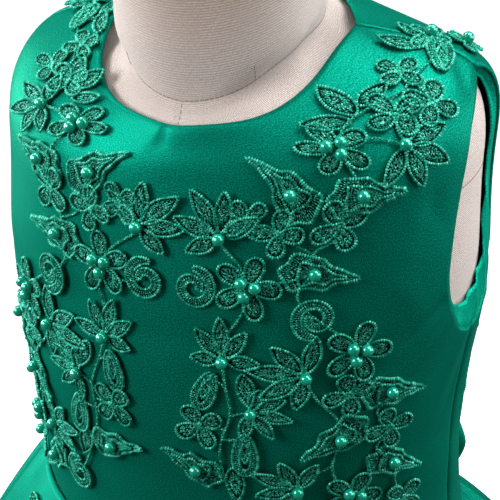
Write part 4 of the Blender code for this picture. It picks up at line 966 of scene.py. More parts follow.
# %% Blades
CORD_LIFT = 0.55
NET_DOME = 0.35
NET_SHARES = (0.94, 0.70, 0.36)
NET_FILLS = (0.05, 0.75, 1.0)
NET_SKIP = 2
STITCH_LIFT = 0.30
STITCH_GAP = 1.50
STITCH_NEAR, STITCH_FAR, STITCH_JITTER = 0.30, 0.74, 0.09
RIB_GAP = 1.25
RIB_SHARES = (0.76, 0.88, 0.98)
WING_FOLD, WING_FOLD_WAVE, WING_ZIGZAG = 0.60, 0.07, 0.72
FRILL, FRILL_WAVES = 0.45, 7
CURLS = (0.15, 1.60)
random_curl = np.random.default_rng(11)


def read_at(places, way, values):
    """Values of each column at some places along a line."""
    return np.column_stack([np.interp(places, way, column) for column in values.T])


def evenly(outline, count):
    """Places at even steps round a closed outline."""
    closed = np.concatenate([outline, outline[:1]])
    way = travelled(closed)
    return read_at((np.arange(count) + 0.5) * way[-1] / count, way, closed)


def girth(outline):
    return np.linalg.norm(outline - np.roll(outline, 1, axis=0), axis=1).sum()


def blade(outline, turn=0.0, wing=False):
    """One petal as x, y and height in mm: border, net rings, middle point, zigzag, and a wing's folds."""
    curl = random_curl.uniform(*CURLS)
    reach = max(outline[:, 1].max(), 1e-6)
    middle = outline.mean(axis=0)

    def raised(points, above):
        height = curl * np.clip(points[..., 1:] / reach, 0, 1) ** 2 + above
        return turned(np.concatenate([points, height], axis=-1), turn)

    def inside(points, share, above=STITCH_LIFT):
        return raised(middle + share * (points - middle), NET_DOME * (1 - share ** 2) + above)

    rings = np.stack([inside(outline[::NET_SKIP], share, 0.0) for share in NET_SHARES])
    count = max(int(girth(outline) / STITCH_GAP / 2) * 2, 8)
    swing = np.where(np.arange(count) % 2, STITCH_NEAR, STITCH_FAR)
    swing += random_curl.uniform(-STITCH_JITTER, STITCH_JITTER, count)
    zigzag = inside(evenly(outline, count), swing[:, None] * (WING_ZIGZAG if wing else 1.0))
    made = {"border": raised(outline, CORD_LIFT), "rings": rings, "middle": raised(middle[None], NET_DOME),
            "zigzag": zigzag, "ribs": []}
    if wing:
        turns = unit_turns(len(outline))
        frill = FRILL * np.sin(FRILL_WAVES * turns + curl)[:, None]
        made["border"][:, 2:] += frill
        fold = WING_FOLD + WING_FOLD_WAVE * np.sin(5 * turns + 2 * curl)[:, None]
        made["inner"] = inside(outline, fold) + np.array([0, 0, CORD_LIFT])
        made["ribs"] = [np.stack([inside(spoke[None], share)[0] for share in RIB_SHARES])
                        for spoke in evenly(outline, int(girth(outline) / RIB_GAP))]
    return made


def ring_blade(radius):
    turns = unit_turns(12)
    return blade(np.column_stack([np.cos(turns), np.sin(turns)]) * radius)


# %% [markdown]
# ### Motifs
# A five-petal flower carries three pearls, a small flower has four round petals, a sprig fans out five
# leaves from a pearl, and a long winged petal has one pearl. Scrolls and loops are bands, stitched across.
# %% Flowers, sprigs and wings
WING = ((-0.02, 0.66), (0.07, 0.60), (0.10, 0.38), (0.24, 0.22), (0.27, -0.06), (0.33, -0.32),
        (0.10, -0.50), (-0.10, -0.44), (-0.26, -0.30), (-0.24, 0.02), (-0.15, 0.22), (-0.08, 0.44))
# Leaves of a sprig. Columns: turn in degrees, reach and start as shares of its size
FAN = ((-88, 0.86, 0.10), (-40, 1.14, 0.12), (-4, 1.30, 0.16), (34, 1.10, 0.14), (90, 1.04, 0.10))
SPRIG_LEAF = 0.36
WING_RUFFLE, WING_RUFFLES = 0.055, 8


def flower5(size):
    petals = [blade(petal_outline(size * 0.95, size * 0.66), 72 * i) for i in range(5)]
    pearls = [(-0.20 * size, 0.10 * size), (0.19 * size, 0.13 * size), (0.01 * size, -0.23 * size)]
    return petals + [ring_blade(size * 0.20)], pearls


def flower4(size):
    petals = [blade(petal_outline(size * 1.05, size * 0.92), 45 + 90 * i) for i in range(4)]
    return petals + [ring_blade(size * 0.16)], []


def bud(size):
    return flower4(size)[0], [(0.0, 0.0)]


def sprig(size):
    leaves = [blade(leaf_outline(size * (reach - start), size * SPRIG_LEAF) + (0, size * start), turn)
              for turn, reach, start in FAN]
    return leaves, [(0.0, 0.0)]


def single_leaf(size):
    return [blade(leaf_outline(size, size * 0.42))], []


def butterfly(size):
    wing = smooth_loop(WING) * size
    wing *= 1 + WING_RUFFLE * np.sin(WING_RUFFLES * unit_turns(len(wing)) + 0.6)[:, None]
    return [blade(wing, wing=True)], [(0.0, 0.0)]


# %% Bands: scrolls and loops
BAND_RIB_GAP, BAND_RIB_REACH = 1.20, 0.92
BAND_NET = (0.95, 0.0, -0.95)
BAND_FILLS = (0.5, 0.9, 0.5)


def band_blade(line, width):
    """A stitched band along a line: cords on both edges, net between them, and ribs straight across."""
    curl = random_curl.uniform(*CURLS) / 2
    ahead = unit(np.gradient(line, axis=0))
    side = np.column_stack([ahead[:, 1], -ahead[:, 0]]) * np.asarray(width)[..., None] / 2
    height = np.full((len(line), 1), curl)

    def edge(share, above):
        return np.concatenate([line + share * side, height + above], axis=1)

    border = np.concatenate([edge(1, CORD_LIFT), edge(-1, CORD_LIFT)[::-1]])
    way = travelled(line)
    places = np.arange(BAND_RIB_GAP / 2, way[-1], BAND_RIB_GAP)
    ribs = np.stack([read_at(places, way, edge(share, CORD_LIFT + above)) for share, above in
                     ((BAND_RIB_REACH, -0.1), (0, 0.25), (-BAND_RIB_REACH, -0.1))], axis=1)
    strip = np.stack([edge(share, NET_DOME * (1 - share ** 2))[::NET_SKIP] for share in BAND_NET])
    return {"border": border, "strip": strip, "ribs": ribs}


def scroll(size):
    turns = np.linspace(0.0, 1.30, 40)
    radius = size * (0.92 - 0.50 * turns)
    angle = math.tau * turns
    coil = np.column_stack([radius * np.sin(angle), radius * np.cos(angle)])
    width = size * np.interp(turns, (0.0, 0.1, 0.9, 1.3), (0.20, 0.42, 0.36, 0.26))
    return [band_blade(coil, width)], []


def loop(size):
    turns = np.linspace(0, math.tau, 32)
    ring = np.column_stack([np.sin(turns) * size * 0.26, (0.5 - 0.5 * np.cos(turns)) * size])
    ring[:, 0] *= 0.55 + 0.45 * ring[:, 1] / size
    return [band_blade(ring, size * 0.16), blade(leaf_outline(size * 0.72, size * 0.22))], []


MOTIFS = {"flower5": flower5, "flower4": flower4, "sprig": sprig, "butterfly": butterfly,
          "scroll": scroll, "loop": loop, "leaf": single_leaf, "bud": bud}

# %% [markdown]
# ### Laying the motifs
# A motif drawn flat is laid on the body by its angle and height, and each point then stands off the satin by
# its own height. The same function serves the skirt, where heights below the waist seam count down. Stems are
# two thin strands twisted round each other along a smooth line.
# %% Places on the cloth
STRAND_OFFSET = 0.00042
STRAND_TWIST = 0.0042
STRAND_STEP = 0.0006
STEM_HEIGHT = 0.0014
LACE_LIFT, PEARL_HEIGHT = 1.0, 3.7  # mm off the satin
CORD, WING_CORD, CORD_PITCH = 0.00094, 0.00124, 0.00126
STRAND, STRAND_PITCH = 0.00054, 0.00130
STITCH, STITCH_PITCH = 0.00033, 0.00140


def skirt_surface(degrees, up, out):
    return laid_on(lambda angle, rise: skirt_point(angle, -rise), degrees, up, out)


def place_on_body(flat_mm, degrees, up, turn):
    """Motif points in mm, turned and laid on the body about one place, as (angle, up)."""
    step = 1e-3
    per_degree = np.linalg.norm(body(degrees + 0.5, up) - body(degrees - 0.5, up))
    per_up = np.linalg.norm(body(degrees, up + step) - body(degrees, up)) / step
    flat = turned(np.asarray(flat_mm, float) / 1000, turn)
    return np.column_stack([degrees + flat[:, 0] / per_degree, up + flat[:, 1] / per_up])


def twisted_stem(points, surface, height):
    """Two strands twisted round a smooth line on the cloth."""
    length = travelled(np.array(points) * METRIC)[-1]
    line = curve_through(points, max(int(length / STRAND_STEP), 8))
    low, high = (surface(line[:, 0], line[:, 1], height + rise) for rise in (0.0, 0.001))
    outward = (high - low) * 1000
    across = np.cross(outward, unit(np.gradient(low, axis=0)))
    phase = np.linspace(0, math.tau * length / STRAND_TWIST, len(line))[:, None]
    return [low + STRAND_OFFSET * (np.cos(phase + start) * across + np.sin(phase + start) * outward)
            for start in (0.0, math.pi)]


# %% Collecting a piece of lace
def new_lace():
    return {"cords": [], "stitches": [], "points": [], "uv": [], "fill": [], "faces": [], "pearls": []}


def add_net(lace, rows, fills, laid, around):
    """Adds rows of net points as faces; a closed blade ends in a fan round its last point."""
    first = sum(len(points) for points in lace["points"])
    places = [laid(row) for row in rows]
    flat = places[0][1]
    loop = np.concatenate([flat, places[-2][1][::-1]]) if not around else flat
    x, y = loop.T
    flip = (x * np.roll(y, -1) - np.roll(x, -1) * y).sum() > 0
    width = len(rows[0])
    faces = grid_faces(len(rows) - (1 if around else 0), width, around=around, flip=not flip).tolist()
    if around:
        last, centre = (len(rows) - 2) * width, (len(rows) - 1) * width
        fan = [(last + i, last + (i + 1) % width, centre) for i in range(width)]
        faces += fan if flip else [face[::-1] for face in fan]
    lace["faces"] += [tuple(first + i for i in face) for face in faces]
    lace["points"] += [place[0] for place in places]
    lace["uv"] += [place[1] * METRIC for place in places]
    lace["fill"] += [np.full(len(row), fill) for row, fill in zip(rows, fills)]


def lay_lace(lace, rows, stems, side=1, lean=0.0, surface=body):
    """Lays motifs and stems. Side -1 mirrors them, and lean turns them in degrees a metre."""
    def centre_of(degrees, up):
        return side * degrees + lean * (up - RIGHT_PIVOT_UP), up

    for kind, degrees, up_mm, turn, size in rows:
        blades, pearls = MOTIFS[kind](size)
        centre = centre_of(degrees, up_mm / 1000)
        facing = side * turn + (LEAN_TURN if lean else 0.0)

        def laid(points):
            flat = place_on_body(points[:, :2] * (side, 1), *centre, facing)
            return surface(flat[:, 0], flat[:, 1], (LACE_LIFT + points[:, 2]) / 1000), flat

        for part in blades:
            thick = WING_CORD if "inner" in part else CORD
            lace["cords"].append((laid(part["border"])[0], True, thick, CORD_PITCH))
            if "inner" in part:
                lace["cords"].append((laid(part["inner"])[0], True, CORD, CORD_PITCH))
            if len(part["ribs"]):
                ribs = laid(np.concatenate(list(part["ribs"])))[0].reshape(-1, 3, 3)
                lace["stitches"] += [(rib, False, STITCH, STITCH_PITCH) for rib in ribs]
            if "strip" in part:
                add_net(lace, list(part["strip"]), BAND_FILLS, laid, around=False)
            else:
                lace["stitches"].append((laid(part["zigzag"])[0], True, STITCH, STITCH_PITCH))
                add_net(lace, [*part["rings"], part["middle"]], (*NET_FILLS, 1.0), laid, around=True)
        for x, y in pearls:
            lace["pearls"].append(laid(np.array([[x, y, PEARL_HEIGHT - LACE_LIFT]]))[0][0])
    for stem in stems:
        line = [centre_of(degrees, up / 1000) for degrees, up in stem]
        strands = twisted_stem(line, surface, STEM_HEIGHT)
        lace["cords"] += [(strand, False, STRAND, STRAND_PITCH) for strand in strands]
    return lace


# %% [markdown]
# ### Wrapped cord with Geometry Nodes
# Every cord is the same thing: a line, walked in even steps, that swells and narrows as the wrapping thread
# goes round it. That is one rule along many paths, which is what Geometry Nodes are for. The tree turns edges
# into curves, resamples them at half a wrap, makes every other ring narrow and darker, as painted shade in
# the groove, and sweeps a circle.
# %% Tree helpers
def new_tree(name, **sockets):
    """A node tree with named inputs; each is given as its type and value."""
    tree = bpy.data.node_groups.new(name, "GeometryNodeTree")
    tree.interface.new_socket("Geometry", in_out="INPUT", socket_type="NodeSocketGeometry")
    for label, (kind, value) in sockets.items():
        socket = tree.interface.new_socket(label, in_out="INPUT", socket_type=kind)
        if value is not None:
            socket.default_value = value
    tree.interface.new_socket("Geometry", in_out="OUTPUT", socket_type="NodeSocketGeometry")
    start, end = tree.nodes.new("NodeGroupInput"), tree.nodes.new("NodeGroupOutput")

    def close(source):
        tree.links.new(source, end.inputs[0])

    return tree, start.outputs, node_adder(tree), close


def real_with_finish(add, geometry, finish):
    """Instances made real, and given their finish."""
    real = add("GeometryNodeRealizeInstances", {"Geometry": geometry}).outputs[0]
    return add("GeometryNodeSetMaterial", {"Geometry": real, "Material": finish}).outputs[0]


def grown(obj, tree, values):
    """Runs a tree on an object and returns its result as a plain mesh, in a new object of the same name."""
    modifier = obj.modifiers.new("grow", "NODES")
    modifier.node_group = tree
    sockets = {item.name: item.identifier for item in tree.interface.items_tree if item.in_out == "INPUT"}
    for label, value in values.items():
        modifier[sockets[label]] = value
    name = obj.name
    mesh = bpy.data.meshes.new_from_object(obj.evaluated_get(bpy.context.evaluated_depsgraph_get()))
    bpy.data.objects.remove(obj, do_unlink=True)
    return put(name, mesh)


def line_object(name, lines):
    """A mesh of edges; each line is its points and whether it closes."""
    edges, first = [], 0
    for line, closed in lines:
        edges += [(first + i, first + i + 1) for i in range(len(line) - 1)]
        edges += [(first + len(line) - 1, first)] if closed else []
        first += len(line)
    mesh = bpy.data.meshes.new(name)
    mesh.from_pydata(np.concatenate([line for line, _ in lines]).tolist(), edges, [])
    return put(name, mesh)


# %% Wrapped cord tree
CORD_SIDES, CORD_GROOVE = 4, 0.66
STITCH_SIDES, STITCH_GROOVE = 3, 0.30
# The groove value is painted shade on the ring between two wraps; the darkest wrap bounds a random tone.
GROOVE_PAINTED_SHADE, DARKEST_WRAP = 0.22, 0.15


def stored(add, name):
    return add("GeometryNodeInputNamedAttribute", values={"Name": name}, data_type="FLOAT").outputs[0]


def cord_tree():
    tree, given, add, close = new_tree(
        "wrapped cord", Sides=("NodeSocketInt", 4), Groove=("NodeSocketFloat", 0.3),
        Seed=("NodeSocketInt", 1), Finish=("NodeSocketMaterial", None))
    curve = add("GeometryNodeMeshToCurve", {0: given["Geometry"]}).outputs[0]
    half = worked(add, "MULTIPLY", stored(add, "pitch"), 0.5)
    even = add("GeometryNodeResampleCurve", {"Curve": curve, "Length": half}, mode="LENGTH").outputs[0]
    index = add("GeometryNodeInputIndex").outputs[0]
    crown = worked(add, "MODULO", index, 2.0)
    chance = add("FunctionNodeRandomValue", {"ID": index, "Seed": given["Seed"]},
                 {2: DARKEST_WRAP, 3: 1.0}, data_type="FLOAT").outputs[1]
    # Painted shade: the narrow ring between two wraps gets a darker tone; chance adds a random tone to each.
    lit = worked(add, "MULTIPLY_ADD", crown, 1 - GROOVE_PAINTED_SHADE, GROOVE_PAINTED_SHADE)
    shade = worked(add, "MULTIPLY", lit, chance)
    kept = add("GeometryNodeStoreNamedAttribute", {"Geometry": even, "Value": shade}, {"Name": "thread"},
               data_type="FLOAT", domain="POINT").outputs[0]
    hollow = worked(add, "SUBTRACT", crown, 1.0)
    narrow = worked(add, "MULTIPLY_ADD", hollow, given["Groove"], 1.0)
    scale = worked(add, "MULTIPLY", narrow, stored(add, "size"))
    circle = add("GeometryNodeCurvePrimitiveCircle", {"Resolution": given["Sides"]}, {"Radius": 1.0})
    tube = add("GeometryNodeCurveToMesh", {"Curve": kept, "Profile Curve": circle.outputs[0], "Scale": scale},
               {"Fill Caps": True}).outputs[0]
    smooth = add("GeometryNodeSetShadeSmooth", {"Geometry": tube}).outputs[0]
    close(real_with_finish(add, smooth, given["Finish"]))
    return tree


wrapped_cord = cord_tree()


def cord_piece(name, strokes, sides, groove):
    """All the strokes of one piece as a mesh of edges, grown into wrapped cords."""
    obj = line_object(name, [stroke[:2] for stroke in strokes])
    counts = [len(stroke[0]) for stroke in strokes]
    for label, column in (("size", 2), ("pitch", 3)):
        values = np.repeat([stroke[column] for stroke in strokes], counts).astype(np.float32)
        obj.data.attributes.new(label, "FLOAT", "POINT").data.foreach_set("value", values)
    settings = {"Sides": sides, "Groove": groove, "Seed": len(strokes), "Finish": thread}
    return grown(obj, wrapped_cord, settings)


# %% Pearl tree
def pearl_tree():
    tree, given, add, close = new_tree("sewn pearls", Radius=("NodeSocketFloat", 0.003),
                                       Finish=("NodeSocketMaterial", None))
    sphere = add("GeometryNodeMeshUVSphere", {"Radius": given["Radius"]}, {"Segments": 20, "Rings": 12})
    smooth = add("GeometryNodeSetShadeSmooth", {"Geometry": sphere.outputs[0]}).outputs[0]
    spread = add("GeometryNodeInstanceOnPoints", {"Points": given["Geometry"], "Instance": smooth}).outputs[0]
    close(real_with_finish(add, spread, given["Finish"]))
    return tree


sewn_pearls = pearl_tree()
PEARL_RADIUS = 0.0030


def pearl_piece(name, places):
    mesh = bpy.data.meshes.new(name)
    mesh.from_pydata([tuple(place) for place in places], [], [])
    return grown(put(name, mesh), sewn_pearls, {"Radius": PEARL_RADIUS, "Finish": pearl})


# %% Pieces of lace
NET_WALL = 0.00030
PETAL_SHARE = 0.32


def triangles(piece):
    return sum(len(face.vertices) - 2 for face in piece.data.polygons)


def lace_pieces(where, lace):
    """Net, cords, stitches and pearls of one stretch of lace, riding with the dress."""
    points = np.concatenate(lace["points"])
    plate = add_piece(f"lace_net_{where}", points, lace["faces"], net, np.concatenate(lace["uv"]),
                      np.concatenate(lace["fill"]))
    give_wall(plate, NET_WALL)
    pieces = [cord_piece(f"lace_cords_{where}", lace["cords"], CORD_SIDES, CORD_GROOVE),
              cord_piece(f"lace_stitches_{where}", lace["stitches"], STITCH_SIDES, STITCH_GROOVE)]
    if lace["pearls"]:
        pieces.append(pearl_piece(f"lace_pearls_{where}", lace["pearls"]))
    for piece in pieces:
        dress(piece)
    flat = lace_cut(points, area_of(plate))
    finish_sheet(plate, f"lace_{where}", flat[:2], share=flat[2])
    print("   triangles:", sum(map(triangles, pieces)))


def lace_cut(points, area):
    """Width, length and petal share of a cut, worked out from the built net.

    The length is the net's own. The width is its reach round the body, narrowed where petals fill less than
    PETAL_SHARE of it, so there it isn't the real width. The area is the built one, so declaring it tests
    nothing.
    """
    angle = np.unwrap(np.arctan2(points[:, 0], -points[:, 1]))
    width = (angle.max() - angle.min()) * np.hypot(points[:, 0], points[:, 1]).mean()
    length = points[:, 2].max() - points[:, 2].min()
    share = area / (width * length)
    fit = min(1.0, share / PETAL_SHARE)
    return width * fit, length, share / fit


left = lay_lace(lay_lace(new_lace(), LACE, STEMS), YOKE_LEFT, YOKE_LEFT_STEMS)
right_lace = lay_lace(lay_lace(new_lace(), LACE, STEMS, -1, RIGHT_LEAN), YOKE_RIGHT, YOKE_RIGHT_STEMS)
lace_pieces("left", left)
lace_pieces("right", right_lace)
for side, name in SIDES:
    lace_pieces(f"back_{name}", lay_lace(new_lace(), BACK_LACE, BACK_STEMS, side))
    lace_pieces(f"skirt_{name}", lay_lace(new_lace(), SKIRT_LACE, SKIRT_STEMS, side, surface=skirt_surface))

# %% [markdown]
# ## The bow
# A flat bow is two folded loops, a short band round the middle and two free ends. Each loop is one strip of
# satin that runs out from the knot, turns at the tip and comes back, so the loop is a surface over two
# values: how far along the strip, and how far across it. Pleats start deep at the knot and open out toward
# the tip.
# %% Loops
BOW_LENGTH, BOW_HEIGHT, BOW_DEPTH, BOW_TIP = 0.096, 0.040, 0.020, 0.008
LOOP_PLEAT, LOOP_MOUTH = 0.0012, 0.0022
BOW_DROOP, BOW_SKEW, BOW_FORWARD = 0.019, 0.007, 0.006
BOW_BACK, BOW_UP = 0.1170, -0.013
KNOT_SIZE = (0.025, 0.030, 0.030)
KNOT_BACK = 0.1075
TOUCH_GAP = 0.0003
LOOP_CREASE = 0.0007


def bow_loop_point(share, across, side):
    """Point of a loop: share runs from the knot round the tip and back, across from lower to upper edge."""
    root = KNOT_SIZE[0] / 2 + 2 * TOUCH_GAP
    reach = np.sin(math.pi * share) ** 0.85
    point = BOW_TIP * (1 - np.abs(across) ** 1.5) * reach ** 4
    out = root + (BOW_LENGTH - BOW_TIP - root) * reach + point
    swell = np.sin(math.pi * np.clip(reach * 0.86 + 0.07, 0, 1)) ** 0.7
    layer = np.clip((share - 0.5) * 8, -1, 1)
    depth = layer * (LOOP_MOUTH + (BOW_DEPTH / 2 - LOOP_MOUTH) * swell)
    pleat = LOOP_PLEAT * np.cos(3 * math.pi * across) * (1 - reach) * layer
    crease = LOOP_CREASE * np.sin(5 * across + 4 * reach + side) * np.sin(math.pi * reach) * layer
    height = BOW_HEIGHT * (0.50 + 0.50 * np.sin(math.pi / 2 * reach))
    drop = (BOW_DROOP + side * BOW_SKEW) * reach ** 1.6
    return np.stack([side * out, BOW_BACK + depth + pleat + crease - BOW_FORWARD * reach ** 2,
                     WAIST_HEIGHT + BOW_UP + across * height / 2 - drop], axis=-1)


def bow_loop(name, side):
    share, across = np.meshgrid((1 - np.cos(np.linspace(0, math.pi, 81))) / 2, np.linspace(-1, 1, 29))
    points = bow_loop_point(share, across, side)
    uv = np.stack([share * 2 * BOW_LENGTH, across * BOW_HEIGHT / 2], axis=-1)
    faces = grid_faces(*share.shape, flip=side > 0)
    return give_wall(add_piece(name, points, faces, satin, uv), CLOTH_WALL)


for side, name in SIDES:
    bow = bow_loop(f"bow_strip_{name}", side)
    finish_sheet(bow, f"bow_loop_{name}", (0.185, 0.042))

# %% Knot and tails
KNOT_PLEAT, KNOT_PLEATS = 0.0009, 8.5
KNOT_PINCH = 0.0022
KNOT_SQUARE = 3.4
TAIL_LENGTH, TAIL_TOP_WIDTH, TAIL_WIDTH = 0.200, 0.020, 0.044
TAIL_DROP, TAIL_START, TAIL_SPREAD, TAIL_SLANT, TAIL_LIFT = 0.003, 0.0125, 0.036, 0.014, 0.0028
TAIL_FOLD, TAIL_RIPPLE, TAIL_FLARE = 0.0016, 0.35, 0.80


def knot_cloth():
    """A short band wrapped round the middle of the bow, with pleats that run with the wrap."""
    wide = np.linspace(-1, 1, 33)
    turns = np.linspace(0, 2 * math.pi, 65)[:-1]
    pleat = KNOT_PLEAT * (np.cos(wide * KNOT_PLEATS + 0.6) - 1) / 2 - KNOT_PINCH * np.abs(wide) ** 6
    across, turn = np.meshgrid(wide, turns, indexing="ij")
    round_corners = np.abs(np.cos(turn)) ** KNOT_SQUARE + np.abs(np.sin(turn)) ** KNOT_SQUARE
    radius = 1 / round_corners ** (1 / KNOT_SQUARE)
    deep = (KNOT_SIZE[1] / 2 + pleat[:, None]) * radius
    high = (KNOT_SIZE[2] / 2 + pleat[:, None]) * radius
    points = np.stack([across * KNOT_SIZE[0] / 2, KNOT_BACK + deep * np.cos(turn),
                       WAIST_HEIGHT + BOW_UP + high * np.sin(turn)], axis=-1)
    uv = np.stack([turn * KNOT_SIZE[2] / 2, across * KNOT_SIZE[0] / 2], axis=-1)
    return add_piece("bow_band", points, capped_faces(len(wide), len(turns)), satin, uv)


knot = knot_cloth()
dress(knot, "bow_knot")


def tail_cloth(name, side):
    """A free end that lies down over the gathers, a little rippled, and is cut on a slant."""
    drops = np.linspace(TAIL_DROP, TAIL_DROP + TAIL_LENGTH, 71)
    share = (drops - drops[0]) / TAIL_LENGTH
    half = (TAIL_TOP_WIDTH + (TAIL_WIDTH - TAIL_TOP_WIDTH) * share ** 0.7) / 2
    middle = TAIL_START + TAIL_SPREAD * share
    columns = np.linspace(-1, 1, 25)
    radius = np.linalg.norm(body(180, 0)[:2]) + TAIL_FLARE * drops
    angles = math.pi + side * (middle + half * columns[:, None]).T / radius[:, None]
    cut = drops[:, None] + share[:, None] * TAIL_SLANT * columns
    swell = np.sin(math.pi * share[:, None])
    wave = TAIL_FOLD * (1 + np.sin(columns * 4.2 + 3 * share[:, None] + side)) * swell
    grid = skirt_point(angles, cut, ripple=TAIL_RIPPLE, lift=TAIL_LIFT + wave)[::-1]
    uv = np.stack(np.broadcast_arrays(half[:, None] * columns, -cut), axis=-1)[::-1]
    if side < 0:
        grid, uv = grid[:, ::-1], uv[:, ::-1]
    faces = grid_faces(*grid.shape[:2])
    return give_wall(add_piece(name, grid, faces, satin, uv), CLOTH_WALL)


# Seen from behind, where angles grow toward the right
for side, name in ((-1, "left"), (1, "right")):
    tail = tail_cloth(f"bow_end_{name}", side)
    finish_sheet(tail, f"bow_tail_{name}", (0.062, 0.245), share=0.80)

# %% [markdown]
# ## The dress form
# A limbless form is a padded shell under a knit cover. The cover has a seam up the middle, one where the
# neck is set on, and small hand stitches. Rings stacked from hip to neck make the cover. Up to the shoulders
# they are the body surface moved inward, so that the cloth lies clear of it, and deeper inside the armholes.
# The neck's rings have a rule of their own, and the two are eased into each other.
# %% The knit cover
FORM_CLEARANCE, FORM_SLACK = 0.0022, 0.0025
ARMHOLE_CLEARANCE, SHOULDER_CLEARANCE = 0.0065, 0.0098
FORM_ROWS = (-0.170, -0.110, -0.060, -0.025, 0.000, 0.028, 0.065, 0.095, 0.120, 0.145, 0.168, 0.185,
             0.198, 0.208, 0.217, 0.226, 0.235, 0.244, 0.253, 0.262)
NECK_FOOT = np.array([-0.0176, 0.2593, 0.0529, 0.0519, 29.0])
NECK_TOP = np.array([-0.0230, 0.3300, 0.0470, 0.0480, 8.0])
FORM_COLUMNS, COVER_ROWS = 120, 77
FORM_PER_DEGREE, COVER_PER_DEGREE = 0.0019, 0.00205
NECK_RINGS = np.concatenate([np.linspace(0.02, 0.14, 7), np.linspace(0.2, 1.0, 12)])
SEAM_GROOVE, GROOVE_REACH = 0.0005, 0.0016
EASE_ROWS, EASE_PASSES = 6.0, 30
RIDGE_START, RIDGE_WIDTH = 0.205, 14.0
NECK_SEAM, NECK_SEAM_REACH = 0.0006, 0.0012
NECK_SEAM_ROW = -2
ARM_SEAM_UP = 0.180


def form_clearance(degrees, up):
    """How far the form lies inside the cloth: close under the bodice, deeper round the armholes."""
    away = np.hypot((np.abs(degrees) - 90) / 32, (up - 0.165) / 0.085)
    near = smooth_share((1.45 - away) / 0.45)
    shoulder = shoulder_share(up)
    deep = ARMHOLE_CLEARANCE + (SHOULDER_CLEARANCE - ARMHOLE_CLEARANCE) * shoulder
    close = FORM_CLEARANCE + FORM_SLACK * shoulder
    return close + (deep - close) * near


def neck_ring(share, degrees):
    """Ring of the neck stub, from its seam at the shoulders up to its cut top."""
    shares = np.array([share, share, share ** 0.6, share, share])
    y, z, wide, deep, tilt = NECK_FOOT + (NECK_TOP - NECK_FOOT) * shares
    angle = np.radians(degrees)
    forward = -np.cos(angle) * deep
    tilt = math.radians(tilt)
    return np.stack([np.sin(angle) * wide, y + forward * math.cos(tilt),
                     z + forward * math.sin(tilt) + WAIST_HEIGHT], axis=-1)


def eased(points, joint, ridge):
    """Rings smoothed along the shoulder ridge and across the neck seam, then drawn in along the seam."""
    row = np.arange(len(points))[1:-1, None, None]
    weight = peak(row - joint, EASE_ROWS)
    for _ in range(EASE_PASSES):
        beside = (np.roll(points, 1, axis=1) + np.roll(points, -1, axis=1)) / 2
        points += ridge * (beside - points) / 2
        points[1:-1] += weight * ((points[:-2] + points[2:]) / 2 - points[1:-1]) / 2
    away = unit(points - points.mean(axis=1, keepdims=True))
    distance = np.linalg.norm(points - points[joint + NECK_SEAM_ROW], axis=2, keepdims=True)
    return points - away * NECK_SEAM * peak(distance, NECK_SEAM_REACH)


def form_cover():
    """The cover, its rings, the number of rings below the neck and the ring of the arm seam."""
    degrees = np.arange(FORM_COLUMNS) * 360 / FORM_COLUMNS
    signed = (degrees + 180) % 360 - 180
    ups = np.interp(np.linspace(0, len(FORM_ROWS) - 1, COVER_ROWS), range(len(FORM_ROWS)), FORM_ROWS)
    from_middle = np.minimum(np.abs(signed), 180 - np.abs(signed)) * FORM_PER_DEGREE
    groove = SEAM_GROOVE * peak(from_middle, GROOVE_REACH)
    rings = [body(signed, up, -form_clearance(signed, up) - groove) for up in ups]
    rings += [neck_ring(share, signed) for share in NECK_RINGS]
    ridge = peak(np.abs(signed) - 90, RIDGE_WIDTH)
    high = np.clip((np.concatenate([ups, np.full(len(NECK_RINGS), ups[-1])]) - RIDGE_START) / 0.02, 0, 1)
    points = eased(np.stack(rings), len(ups), (high[:, None] * ridge)[..., None])
    length = np.concatenate([[0], np.cumsum(np.linalg.norm(np.diff(points, axis=0), axis=2).mean(axis=1))])
    uv = np.stack(np.broadcast_arrays(signed * COVER_PER_DEGREE, length[:, None]), axis=-1)
    cover = add_piece("jersey_cover", points, capped_faces(*points.shape[:2]), jersey, uv)
    return cover, points, len(ups), int(np.abs(ups - ARM_SEAM_UP).argmin())


cover, cover_points, neck_row, arm_row = form_cover()
dress(cover, "form_torso")
print("cover:", len(cover.data.polygons), "faces")

# %% [markdown]
# ### Hand stitches
# The neck was set on by hand: a row of short stitches runs along its seam, one down the middle of the front
# and back, one up each dart, and one across each armhole. A stitch is the same small rod again and again
# along a line, so Geometry Nodes place them.
# %% Stitches of the cover
STITCH_PITCH_COVER, STITCH_LENGTH, STITCH_RADIUS = 0.0024, 0.0019, 0.00017
ROD_SIDES = 6
MIDDLE_ROWS, DART_ROWS = 9, 6
DART_COLUMNS = (13, 107)
ARM_SEAM_COLUMNS = (25, 36)


def make_stitch_thread():
    made, add, join = start_material("cover thread", (0.14, 0.09, 0.07), 0.8)
    fibres = noise(add, own_place(add), 900.0)
    join(ramp(add, fibres, (0.3, (0.07, 0.045, 0.035)), (0.7, (0.20, 0.14, 0.11))), "Base Color")
    return made


def stitch_tree():
    tree, given, add, close = new_tree(
        "hand stitches", Pitch=("NodeSocketFloat", 0.003), Length=("NodeSocketFloat", 0.002),
        Radius=("NodeSocketFloat", 0.0002), Finish=("NodeSocketMaterial", None))
    curve = add("GeometryNodeMeshToCurve", {0: given["Geometry"]}).outputs[0]
    places = add("GeometryNodeCurveToPoints", {"Curve": curve, "Length": given["Pitch"]}, mode="LENGTH")
    rod = add("GeometryNodeMeshCylinder", {"Radius": given["Radius"], "Depth": given["Length"]},
              {"Vertices": ROD_SIDES}).outputs[0]
    spread = add("GeometryNodeInstanceOnPoints", {"Points": places.outputs[0], "Instance": rod,
                 "Rotation": places.outputs["Rotation"]}).outputs[0]
    close(real_with_finish(add, spread, given["Finish"]))
    return tree


